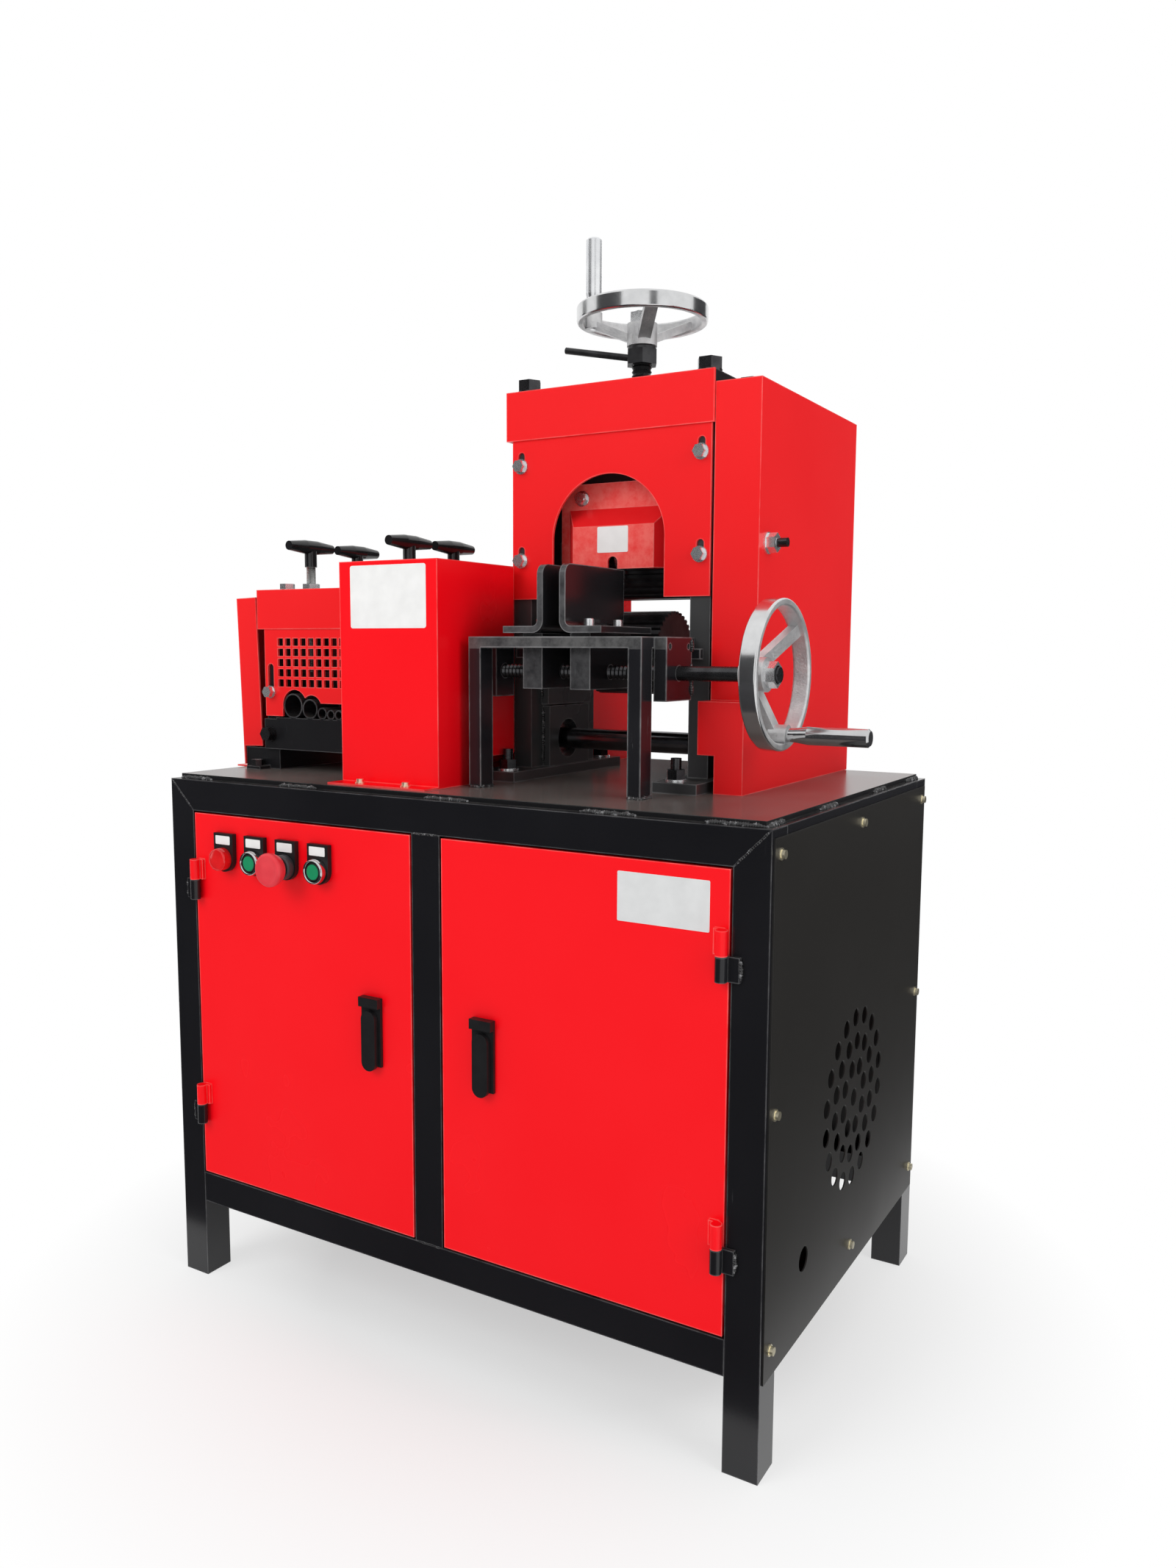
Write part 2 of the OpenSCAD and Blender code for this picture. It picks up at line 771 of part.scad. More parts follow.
module panel_screws() {
    color("#c9a24a") place() {
        for (s = side_screws) {
            translate([-panel_t, s[0], s[1]]) rotate([0, -90, 0]) screw(panel_t);
            translate([frame_w + panel_t, s[0], s[1]]) rotate([0, 90, 0]) screw(panel_t);
        }
        for (s = back_screws) translate([s[0], frame_d + panel_t, s[1]]) rotate([-90, 0, 0]) screw(panel_t);
        for (x = guard_screws) translate([x, guard_y - flange_w / 2, tz + cover_t]) screw(cover_t);
        translate([side_screw[0], side_screw[1], tz + cover_t]) screw(cover_t);
    }
}

// the lower half of a hinge: knuckle, pin and the leaf on its leg
module hinge_half(x, z, left) {
    low = z - knuckle_l;
    high = z - slide;
    rod_z(low, high, x, hinge_y, knuckle_r);
    rod_z(high - eps, z + knuckle_l - 3, x, hinge_y, pin_r);
    difference() {
        block([left ? tube - leaf_w : x, -leaf_t, low], [left ? x : frame_w - tube + leaf_w, 0, high]);
        block([tube, -0.6, low - 1], [frame_w - tube, 1, high + 1]);
    }
}

module hinge_pins() {
    color("#161618") place() for (z = hinge_z) {
        hinge_half(left_hinge_x, z, true);
        hinge_half(right_hinge_x, z, false);
    }
}

// folded door with its hinge halves; toward is +1 where the door lies right of its hinge
module door(x, hinge_x, toward) {
    leaf_end = hinge_x + toward * leaf_w;
    difference() {
        union() {
            difference() {
                block([x, 0, door_z], [x + door_w, door_t, door_z + door_h]);
                block([x + door_sheet, door_sheet, door_z + door_sheet],
                    [x + door_w - door_sheet, door_t + 1, door_z + door_h - door_sheet]);
            }
            for (z = hinge_z) {
                rod_z(z, z + knuckle_l, hinge_x, hinge_y, knuckle_r);
                block([min(hinge_x, leaf_end), -leaf_t, z],
                    [max(hinge_x, leaf_end), door_sheet / 2, z + knuckle_l]);
            }
        }
        for (z = hinge_z) rod_z(z - 1, z + knuckle_l - 2.5, hinge_x, hinge_y, pin_r + run);
        children();
    }
}

module left_door() {
    color("#d81e24") place() door(left_door_x, left_hinge_x, 1) {
        rod_y(-1, door_t, left_lock_x, lock_z, spindle_r + slide);
        for (x = controls) rod_y(-1, door_t, x, control_z, button_r + slide);
    }
}

module right_door() {
    color("#d81e24") place() door(right_door_x, right_hinge_x, -1)
        rod_y(-1, door_t, right_lock_x, lock_z, spindle_r + slide);
}

// base plate of a lock with its raised head and the spindle's bore
module lock_base(x) {
    top = lock_z + lock_head + 11;
    half = lock_w / 2;
    difference() {
        union() {
            block([x - half, -lock_t, top - lock_h], [x + half, 0, top]);
            block([x - half, -lock_t - lever_t, lock_z + lock_head], [x + half, -lock_t + eps, top]);
        }
        rod_y(-lock_t - lever_t, 1, x, lock_z, spindle_r + run);
    }
}

module left_lock() {
    color("#18181a") place() lock_base(left_lock_x);
}

module right_lock() {
    color("#18181a") place() lock_base(right_lock_x);
}

// lever, spindle and cam of a lock; the cam ends inside its own door's edge
module lock_lever(x, toward) {
    front = -lock_t - slide;
    cam_y = door_t + 3;
    cam_end = x + toward * (lock_edge - 6);
    cam_start = x - toward * 8;
    push_y(front - lever_t, front) translate([x, lock_z - lever_l + lever_w / 2])
        slot(lever_w / 2, lever_l - lever_w / 2);
    rod_y(front - eps, cam_y + 5, x, lock_z, spindle_r);
    block([min(cam_start, cam_end), cam_y, lock_z - 9], [max(cam_start, cam_end), cam_y + 4, lock_z + 9]);
}

module left_lever() {
    color("#121214") place() lock_lever(left_lock_x, 1);
}

module right_lever() {
    color("#121214") place() lock_lever(right_lock_x, -1);
}

module legend_holders() {
    color("#161616") place() for (x = controls) difference() {
        push_y(-legend_t, 0) translate([x, control_z]) {
            circle(r = legend_w / 2);
            translate([-legend_w / 2, 0]) square([legend_w, legend_h]);
        }
        rod_y(-legend_t - 1, 1, x, control_z, button_r + slide);
    }
}

module collars() {
    color("#c8cacc") place() for (i = [1:3]) difference() {
        rod_y(-collar_front, -legend_t, controls[i], control_z, collar_r);
        rod_y(-collar_front - 1, -legend_t + 1, controls[i], control_z, button_r + run);
    }
}

// a turned piece on a control's axis, drawn as radius and distance in front of the door
module on_control(i) {
    translate([controls[i], 0, control_z]) rotate([90, 0, 0]) rotate_extrude() children();
}

module pilot_lamp() {
    back = -door_sheet - button_back;
    front = legend_t + lens_t;
    color("#e01818") place() on_control(0) polygon([[0, back], [button_r, back], [button_r, legend_t],
        [collar_r - 1, legend_t], [collar_r - 1, front - 2], [collar_r - 3, front], [0, front]]);
}

module push_button(i) {
    color("#0b8a4c") place()
        rod_y(1 - collar_front, door_sheet + button_back, controls[i], control_z, button_r);
}

module start_button() {
    push_button(1);
}

module reverse_button() {
    push_button(3);
}

// mushroom head and stem of the emergency stop
module e_stop() {
    back = -door_sheet - button_back;
    head = collar_front + estop_way;
    color("#d62027") place() on_control(2) polygon([[0, back], [button_r, back], [button_r, head],
        [estop_r - 3, head], [estop_r, head + 4], [estop_r, estop_out - 3], [estop_r - 3, estop_out],
        [0, estop_out]]);
}

// foot mounted motor with its reducer
module gear_motor() {
    x0 = reducer_x - reducer_l;
    motor_x = x0 - motor_l;
    foot = motor_rails[1];
    low = out_z - reducer_r;
    color("#4c5560") place() difference() {
        union() {
            block([x0, drive_y - 62, low], [reducer_x, drive_y + 62, out_z + reducer_r - 14]);
            rod_x(motor_x, x0 + eps, drive_y, out_z, motor_r);
            for (i = [0:17]) translate([motor_x + 40, drive_y, out_z]) rotate([i * 20, 0, 0])
                translate([0, -1.5, motor_r - 2]) cube([motor_l - 50, 3, 8]);
            block([motor_x + motor_l * 0.4, drive_y - 40, out_z + motor_r - 12],
                [motor_x + motor_l * 0.8, drive_y + 40, out_z + motor_r + 34]);
            block([foot, drive_y - 55, low], [foot + tube, drive_y + 55, out_z]);
        }
        rod_x(reducer_x - 40, reducer_x + 1, drive_y, out_z, out_r + run);
    }
}

// toothed outline of a chain wheel
module chain_teeth(r, n) {
    steps = [0, 0.22, 0.5, 0.72];
    polygon([for (i = [0:n - 1], k = [0:3])
        let (a = (i + steps[k]) * 360 / n, q = k == 1 || k == 2 ? r : r - 4) [q * cos(a), q * sin(a)]]);
}

// chain wheel on a shaft along X
module chain_wheel(x, y, z, r, n, bore) {
    push_x(x, x + chain_wheel_t) translate([y, z]) difference() {
        chain_teeth(r, n);
        circle(r = bore + run);
    }
}

module output_wheel() {
    color("#6a6c70") place() {
        rod_x(reducer_x - 39, tower_chain_x + chain_wheel_t + 3, drive_y, out_z, out_r);
        chain_wheel(tower_chain_x, drive_y, out_z, tower_wheel_r, 16, out_r);
    }
}

// closed loop round two equal wheels; a and b are their centres
module loop(a, b, r) {
    d = b - a;
    l = norm(d);
    translate(a) rotate(atan2(d[1], d[0])) difference() {
        union() {
            circle(r = r + chain_t);
            translate([l, 0]) circle(r = r + chain_t);
            translate([0, -r - chain_t]) square([l, 2 * (r + chain_t)]);
        }
        circle(r = r);
        translate([l, 0]) circle(r = r);
        translate([0, -r]) square([l, 2 * r]);
    }
}

module chains() {
    color("#3a3a3c") place() {
        push_x(tower_chain_x, tower_chain_x + chain_wheel_t)
            loop([drive_y, out_z], [drive_y, drive_z], tower_wheel_r + chain_gap);
        push_x(side_chain_x, side_chain_x + chain_wheel_t)
            loop([row_y[0], drive_z], [row_y[1], drive_z], side_wheel_r + chain_gap);
    }
}

// switch box on the back panel, with its lid
module switch_box() {
    x = left_door_x + 50;
    z = rail_top + 110;
    lid = 14;
    color("#8c9094") place() {
        block([x, frame_d - box_d + lid, z], [x + box_w, frame_d, z + box_h]);
        block([x - 4, frame_d - box_d, z - 4], [x + box_w + 4, frame_d - box_d + lid + eps, z + box_h + 4]);
    }
}

// side plate of the cable head with its foot, bearing pads and guide key
module head_side(x, left) {
    pad_x = left ? x + plate_t : x - pad_t;
    key_x = left ? x + plate_t : x - key_t;
    bolt_x = left ? foot_x[0] : foot_x[1];
    low = tz + foot_t - eps;
    end = x + plate_t + pad_t + 1;
    difference() {
        union() {
            block([x, head_y, low], [x + plate_t, head_y + head_dp, head_top]);
            block([x - foot_off, head_y - foot_front, tz],
                [x + plate_t + foot_off, foot_rear, tz + foot_t]);
            block([pad_x, drive_y - drive_pad_front, low],
                [pad_x + pad_t, drive_y + drive_pad_back, drive_z + drive_pad_high]);
            block([pad_x, feed_y - feed_pad_front, feed_z - feed_pad_low],
                [pad_x + pad_t, feed_y + feed_pad_back, feed_z + feed_pad_high]);
            block([key_x, carriage_mid - key_w / 2, cheek_z - 40],
                [key_x + key_t, carriage_mid + key_w / 2, head_top]);
        }
        rod_x(x - pad_t - 1, end, drive_y, drive_z, drive_r + ring_w + run);
        rod_x(x - pad_t - 1, end, feed_y, feed_z, feed_shaft_r + ring_w + run);
        for (y = foot_y) rod_z(tz - 1, tz + foot_t + 1, bolt_x, y, foot_bolt_r + run);
        for (z = front_z) rod_y(head_y - 1, head_y + 14, x + plate_t / 2, z, 4 + run);
    }
}

module head_plates() {
    color("#202024") place() {
        head_side(head_x, true);
        head_side(in_r, false);
    }
}

module ring(x0, x1, y, z, r) {
    difference() {
        rod_x(x0, x1, y, z, r + ring_w);
        rod_x(x0 - 1, x1 + 1, y, z, r + run);
    }
}

module bearings() {
    color("#9a9ca0") place() {
        for (x = [head_x + 8, in_r + 2]) {
            ring(x, x + 15, drive_y, drive_z, drive_r);
            ring(x, x + 15, feed_y, feed_z, feed_shaft_r);
        }
        for (x = [unit_x + 2, unit_r - unit_t + 2], y = row_y)
            ring(x, x + unit_t - 4, y, drive_z, wire_shaft_r);
    }
}

// stud with washer and nut, standing on the table through a foot
module foot_bolt(x, y) {
    top = tz + foot_t;
    rod_z(tz, top + 26, x, y, foot_bolt_r);
    rod_z(top, top + 2.5, x, y, foot_bolt_r * 2.1);
    translate([x, y, top + 2.5 - eps]) hexagon(foot_bolt_r * 3.2, 11);
}

module black_bolts() {
    color("#141416") place() {
        for (x = foot_x, y = foot_y) foot_bolt(x, y);
        for (x = front_x, y = cross_y) translate([x, y, head_top + cross_t]) {
            cylinder(h = 3, r = cross_bolt_r * 2);
            translate([0, 0, 3 - eps]) hexagon(cross_bolt_r * 3.6, 12.5);
            translate([0, 0, -cross_t]) cylinder(h = cross_t + eps, r = cross_bolt_r);
        }
        for (x = tee_x) translate([x, unit_y - bar_t, tube_seat - 2 - bar_h / 2]) rotate([90, 0, 0]) {
            cylinder(h = 2, r = 10);
            translate([0, 0, 2 - eps]) hexagon(16, 8);
        }
        translate([unit_x - 12, unit_y - 9, tz + 4]) hexagon(13, 8);
    }
}

module crosshead() {
    low = head_top - 1;
    high = head_top + cross_t + 1;
    color("#1e1e22") place() difference() {
        block([head_x - 2, front_y, head_top], [head_r + 2, head_y + head_dp, head_top + cross_t]);
        rod_z(low, high, head_mid, screw_y, lift_r + run);
        for (x = front_x, y = cross_y) rod_z(low, high, x, y, cross_bolt_r + run);
    }
}

// red strip in front of the crosshead, folded round its left end
module top_cap() {
    x0 = head_x - cap_over - sheet_t;
    low = head_top - cap_drop;
    color("#e02228") place() {
        block([x0, front_y - sheet_t, low], [tower_x - slide, front_y, low + cap_h]);
        block([x0, front_y - eps, low], [x0 + sheet_t, front_y + 12, low + cap_h]);
    }
}

module front_plate() {
    low = tz + front_low;
    arch_z = head_top - arch_drop - arch_r;
    color("#e02228") place() difference() {
        block([head_x, front_y, low], [head_r, head_y, head_top - cap_drop + 8]);
        rod_y(front_y - 1, head_y + 1, head_mid, arch_z, arch_r);
        block([head_mid - arch_r, front_y - 1, low - 1], [head_mid + arch_r, head_y + 1, arch_z]);
        for (x = front_x, z = front_z) push_y(front_y - 1, head_y + 1) translate([x, z]) slot(4.5, 12);
    }
}

// zinc bolt with washer, seated at z = 0
module zinc_bolt(af, washer_r, shank_r, shank_l) {
    cylinder(h = 2, r = washer_r);
    translate([0, 0, 2 - eps]) hexagon(af, 7);
    translate([0, 0, -shank_l]) cylinder(h = shank_l + eps, r = shank_r);
}

// places of the grille's two bolts
grille_bolts = [[unit_x + 10, slot_z], [unit_r - 8, slot_z - 3.5]];
// places of the wire head's top bolts along Y
unit_bolts = [unit_y + 30, unit_y + unit_dp - 30];
// place of the tower cover's stud
tower_stud = [front_y + 23, tz + 273];

module zinc_bolts() {
    color("#c4c6c8") place() {
        for (x = front_x, z = front_z)
            translate([x, front_y, z]) rotate([90, 0, 0]) zinc_bolt(13, 9, 4, sheet_t + 12);
        for (b = grille_bolts)
            translate([b[0], grille_y, b[1]]) rotate([90, 0, 0]) zinc_bolt(13, 8, 4, sheet_t);
        for (x = tee_x, y = row_y) translate([x, y, cap_top]) end_nut(tee_nut_af, tee_nut_t, tee_r);
        for (x = tee_x, y = unit_bolts) translate([x, y, cap_top]) zinc_bolt(17, 10, 5, unit_top_t);
        translate([tower_r, tower_stud[0], tower_stud[1]]) rotate([0, 90, 0]) {
            cylinder(h = 2, r = 12);
            translate([0, 0, 2 - eps]) hexagon(19, 10);
            translate([0, 0, -cover_t]) cylinder(h = cover_t + 24, r = 5);
        }
    }
}

// folded cover over the gear side of the head, open to the head and below
module tower_cover() {
    c = cover_t;
    step_y = head_y - tower_step;
    top = head_top + tower_high;
    step_z = tz + tower_step_h;
    color("#e02228") place() difference() {
        union() {
            block([tower_x, front_y, tz], [tower_r, tower_back, top]);
            block([tower_x, step_y, tz], [tower_r, front_y + c, step_z]);
        }
        block([tower_x + c, front_y + c, tz - 1], [tower_r - c, tower_back - c, top - c]);
        block([tower_x - 1, front_y + c, tz - 1], [tower_x + c + 1, foot_rear + 4, top - c]);
        block([tower_x + c, step_y + c, tz - 1], [tower_r - c, front_y + c + 1, step_z - c]);
        block([tower_x - 1, step_y - 1, tz - 1], [tower_x + 20, front_y + c + 1, tz + 42]);
        rod_x(tower_r - c - 1, tower_r + 1, tower_stud[0], tower_stud[1], 5 + run);
    }
}

// stand of the cable guide, with its screw's bearing plates
module guide_stand() {
    plate_low = stand_z - guide_plate_h;
    plate_y = guide_y - guide_plate_d / 2;
    plate_r = stand_r + guide_plate_t;
    color("#18181a") place() difference() {
        union() {
            difference() {
                block([stand_x, stand_y, stand_low], [stand_r, head_y, stand_z]);
                block([stand_x + stand_bar, block_y - slide, stand_low - 1],
                    [stand_r - stand_bar, block_y + block_l + slide, stand_z + 1]);
            }
            block([head_x + 8, head_y - 8, stand_low - 12], [head_r - 8, head_y, stand_low + eps]);
            for (x = [stand_x, stand_r - stand_leg_w])
                block([x, stand_y, tz], [x + stand_leg_w, stand_y + stand_leg_d, stand_low + eps]);
            block([stand_r - eps, plate_y, plate_low], [plate_r, plate_y + guide_plate_d, stand_z]);
            block([stand_x, guide_y - 18, plate_low], [stand_x + 10, guide_y + 18, stand_low + eps]);
        }
        rod_x(stand_x - 1, stand_x + 11, guide_y, guide_z, guide_r + run);
        rod_x(stand_r - 1, plate_r + 1, guide_y, guide_z, guide_r + run);
        for (y = [8, guide_plate_d - 8]) rod_x(plate_r - 8, plate_r + 1, plate_y + y, stand_z - 10, 3);
    }
}

// threaded rod round the Z axis, with a ring for each pitch
module thread(l, r, pitch) {
    n = floor(l / pitch);
    root = r - pitch * 0.28;
    rotate_extrude() polygon(concat([[0, 0]],
        [for (i = [0:n - 1], k = [0, 1]) [k == 0 ? r : root, (i + k / 2) * pitch]],
        [[r, n * pitch], [r, l], [0, l]]));
}

// nut on a shaft's end, separate from its shaft
module end_nut(af, h, shaft_r) {
    difference() {
        hexagon(af, h);
        translate([0, 0, -1]) cylinder(h = h + 2, r = shaft_r + run);
    }
}

module guide_screw() {
    thread_l = stand_w - stand_bar;
    hub_end = guide_rim_x + hub_rise - stand_x - 1;
    color("#141416") place() translate([stand_x + 1, guide_y, guide_z]) rotate([0, 90, 0]) {
        thread(thread_l, guide_r, guide_pitch);
        translate([0, 0, thread_l - eps]) cylinder(h = hub_end + 14 - thread_l, r = guide_r);
        translate([0, 0, hub_end + seat]) end_nut(24, 11, guide_r);
    }
}

// handwheel round the Z axis, with its rim's inner side at z = 0 and its grip's hole at angle 0
module handwheel(shaft_r) {
    start = hub_r - 6;
    reach = wheel_r - rim_t / 2 - start;
    low = 4 - hub_drop;
    lean = atan2((rim_w - spoke_t) / 2 - low, reach);
    difference() {
        union() {
            rotate_extrude($fn = 96) translate([wheel_r - rim_t, 0]) round_rect(rim_t, rim_w, rim_edge);
            translate([0, 0, -hub_drop]) cylinder(h = hub_drop + hub_rise, r = hub_r);
            for (a = [0, 120, 240]) rotate(a) translate([start, -spoke_w / 2, low])
                rotate([0, -lean, 0]) cube([reach / cos(lean), spoke_w, spoke_t]);
            translate([grip_at, 0, 0]) cylinder(h = rim_w, r = boss_r);
        }
        translate([0, 0, -hub_drop - 1]) cylinder(h = hub_drop + hub_rise + 2, r = shaft_r + run);
        translate([grip_at, 0, low]) cylinder(h = rim_w + 1 - low, r = stud_r + run);
    }
}

// revolving grip with its stud, standing on a rim's outer side at z = 0
module grip(l) {
    rotate_extrude() polygon([[0, -rim_w], [stud_r, -rim_w], [stud_r, slide], [grip_r - 2.5, slide],
        [grip_r - 2, 8], [grip_r, 22], [grip_r, l - 2], [grip_r - 2, l], [0, l]]);
}

// frames of the two wheels: the axis, then the turn that brings the grip to its place
module on_guide_wheel() {
    translate([guide_rim_x, guide_y, guide_z]) rotate([0, 90, 0]) rotate(11) children();
}

module on_top_wheel() {
    translate([head_mid, screw_y, top_rim_z]) rotate(187) children();
}

module guide_wheel() {
    color("#d4d6d8") place() on_guide_wheel() handwheel(guide_r);
}

module guide_grip() {
    color("#dcdee0") place() on_guide_wheel() translate([grip_at, 0, rim_w]) grip(guide_grip_l);
}

module top_wheel() {
    color("#d4d6d8") place() on_top_wheel() handwheel(neck_r);
}

module top_grip() {
    color("#dcdee0") place() on_top_wheel() translate([grip_at, 0, rim_w]) grip(top_grip_l);
}

// bent plate of a jaw, with its face in the plane x = 0 and its foot towards +X
module jaw_plate() {
    bend = jaw_t + jaw_bend;
    end = jaw_y + jaw_l;
    foot_end = jaw_y + jaw_foot_l;
    turns = [for (i = [0:8]) i * 11.25];
    difference() {
        intersection() {
            push_y(jaw_y - 1, end + 1) polygon(concat([[0, jaw_h + 1]],
                [for (a = turns) [bend - bend * cos(a), bend - bend * sin(a)]],
                [[jaw_foot, 0], [jaw_foot, jaw_t]],
                [for (a = turns) [bend - jaw_bend * sin(a), bend - jaw_bend * cos(a)]],
                [[jaw_t, jaw_h + 1]]));
            push_x(-1, jaw_foot + 1) polygon(concat(
                [[jaw_y, -1], [foot_end, -1], [foot_end, bend], [end, bend], [end, jaw_h]],
                [for (a = turns) [jaw_y + jaw_corner * (1 - sin(a)), jaw_h - jaw_corner * (1 - cos(a))]]));
        }
        for (y = jaw_bolts) rod_z(-1, jaw_t + 1, block_off, y, jaw_screw_r + run);
    }
}

// jaw with its nut block and two cap screws; side is -1 on the left and +1 on the right
module jaw(side) {
    half = block_w / 2;
    translate([head_mid + side * jaw_gap / 2, 0, 0]) mirror([side < 0 ? 1 : 0, 0, 0]) {
        translate([0, 0, jaw_z]) jaw_plate();
        difference() {
            block([block_off - half, block_y, stand_z - block_drop],
                [block_off + half, block_y + block_l, jaw_z - seat]);
            rod_x(block_off - block_w, block_off + block_w, guide_y, guide_z, guide_r + run);
            for (y = jaw_bolts) rod_z(jaw_z - 14, jaw_z + 1, block_off, y, jaw_screw_r + run);
        }
        for (y = jaw_bolts) {
            rod_z(jaw_z + jaw_t + seat, jaw_z + jaw_t + 8, block_off, y, jaw_bolt_r);
            rod_z(jaw_z - 12, jaw_z + jaw_t + seat + eps, block_off, y, jaw_screw_r);
        }
    }
}

module left_jaw() {
    color("#1b1b1e") place() jaw(-1);
}

module right_jaw() {
    color("#1b1b1e") place() jaw(1);
}

// sliding frame of the cable head, which carries the press roller and the blade
module carriage() {
    y1 = carriage_y + carriage_dp;
    key_low = carriage_mid - key_w / 2 - slide;
    key_high = carriage_mid + key_w / 2 + slide;
    color("#2a2a2e") place() difference() {
        union() {
            for (x = [cheek_l, cheek_r - cheek_t]) block([x, carriage_y, cheek_z], [x + cheek_t, y1, beam_z]);
            block([cheek_l, carriage_y, beam_z - beam_t], [cheek_r, y1, beam_z]);
            block([cheek_l, carriage_y, web_z], [cheek_r, carriage_y + web_t, beam_z]);
        }
        rod_x(in_l + press_end - slide, in_r - press_end + slide, press_y, press_z, press_shaft_r + run);
        block([in_l - 1, key_low, cheek_z - 1], [in_l + key_t + slide, key_high, beam_z + 1]);
        block([in_r - key_t - slide, key_low, cheek_z - 1], [in_r + 1, key_high, beam_z + 1]);
        rod_z(beam_z - 20, beam_z + 1, head_mid, screw_y, journal_r + run);
    }
}

// red guard in front of the press roller, raised over the blade
module inner_guard() {
    low = cheek_z + bulge_low;
    high = beam_z - bulge_drop;
    back = carriage_y - 3;
    front = carriage_y - bulge_d;
    half = bulge_w / 2;
    wide = bulge_sheet_w / 2;
    bulge_top = web_z + 15;
    color("#c81a20") place() difference() {
        union() {
            block([head_mid - wide, back, low], [head_mid + wide, carriage_y, high]);
            hull() {
                block([head_mid - half - 16, back, low], [head_mid + half + 16, back + 1, bulge_top + 22]);
                block([head_mid - half, front, low], [head_mid + half, front + 1, bulge_top]);
            }
        }
        block([head_mid - 40, front + 3, low - 1], [head_mid + 40, carriage_y + 1, bulge_top - 4]);
        push_y(front - 1, front + 5) translate([head_mid, low - 1]) slot(6.5, 9);
    }
}

// blade, seated under and in front of the carriage's web
module blade() {
    tip = web_z - blade_l;
    front = carriage_y - 14;
    back = carriage_y + web_t;
    color("#b8babc") place() push_x(head_mid - blade_t / 2, head_mid + blade_t / 2)
        polygon([[front, tip + 30], [carriage_y - 2, tip], [back, tip + 8], [back, web_z],
            [carriage_y, web_z], [carriage_y, web_z + 9], [front, web_z + 9]]);
}

// ribbed outline of a roller
module ribbed(r, n, depth) {
    steps = [0, 0.4, 0.5, 0.9];
    polygon([for (i = [0:n - 1], k = [0:3])
        let (a = (i + steps[k]) * 360 / n, q = k < 2 ? r : r - depth) [q * cos(a), q * sin(a)]]);
}

module press_roller() {
    gap = cheek_t + 1;
    color("#3c3c40") place() {
        push_x(cheek_l + gap, cheek_r - gap) translate([press_y, press_z]) ribbed(press_r, 24, 3);
        rod_x(in_l + press_end, in_r - press_end, press_y, press_z, press_shaft_r);
    }
}

// lifting screw with its journal, its plain neck and the wheel's nut
module lift_screw() {
    low = beam_z + slide;
    neck_z = nut_z + nut_t;
    hub_top = top_rim_z + hub_rise;
    color("#141416") place() translate([head_mid, screw_y, 0]) {
        translate([0, 0, beam_z - 19]) cylinder(h = 20, r = journal_r);
        translate([0, 0, low]) thread(neck_z - low, lift_r, lift_pitch);
        translate([0, 0, neck_z - eps]) cylinder(h = hub_top + 14 - neck_z, r = neck_r);
        translate([0, 0, hub_top + seat]) end_nut(28, 12, neck_r);
    }
}

// hexagonal nut with a rising lever
module lock_nut() {
    color("#1a1a1c") place() translate([head_mid, screw_y, nut_z]) difference() {
        union() {
            hexagon(nut_af, nut_t - 3);
            cylinder(h = nut_t, r = nut_af / 2);
            translate([-nut_af / 2 + 3, 0, nut_t / 2]) rotate([0, -78, 0]) cylinder(h = nut_lever, r = 4);
        }
        translate([0, 0, -1]) cylinder(h = nut_t + 2, r = lift_r + run);
    }
}

// side plate of the wire head with its press windows
module unit_side(x) {
    difference() {
        block([x, unit_y, tz], [x + unit_t, unit_y + unit_dp, unit_top]);
        for (y = row_y) {
            rod_x(x - 1, x + unit_t + 1, y, drive_z, wire_shaft_r + ring_w + run);
            block([x - 1, y - press_w / 2 - slide, press_low - 6],
                [x + unit_t + 1, y + press_w / 2 + slide, unit_top + 1]);
        }
    }
}

module unit_plates() {
    foot = unit_x - 40;
    color("#1d1d20") place() {
        unit_side(unit_x);
        unit_side(unit_r - unit_t);
        block([foot, unit_y, tz], [unit_x + eps, unit_y + unit_dp, tz + 8]);
        block([foot, unit_y, tz], [unit_x + eps, unit_y + 12, tz + 27]);
        block([unit_x - 22, unit_y - 18, tz], [unit_x + 2, unit_y + eps, tz + 4]);
    }
}

module unit_top_plate() {
    color("#1d1d20") place() difference() {
        block([unit_x, unit_y, unit_top], [unit_r, unit_y + unit_dp, cap_top]);
        for (x = tee_x, y = row_y) rod_z(unit_top - 1, cap_top + 1, x, y, tee_r + run);
        for (x = tee_x, y = unit_bolts) rod_z(unit_top - 1, cap_top + 1, x, y, 5 + run);
    }
}

// red strip over the wire head's front, with two stand-offs on the top plate
module unit_cap() {
    x0 = unit_x - unit_cap_over;
    low = cap_top - unit_cap_h;
    y0 = grille_y - cover_t;
    color("#e02228") place() {
        block([x0, y0, low], [unit_r, grille_y, cap_top]);
        block([x0, y0, low], [x0 + cover_t, unit_y, cap_top]);
        for (x = tee_x) rod_y(grille_y - eps, unit_y, x, cap_top - unit_top_t / 2, 4);
    }
}

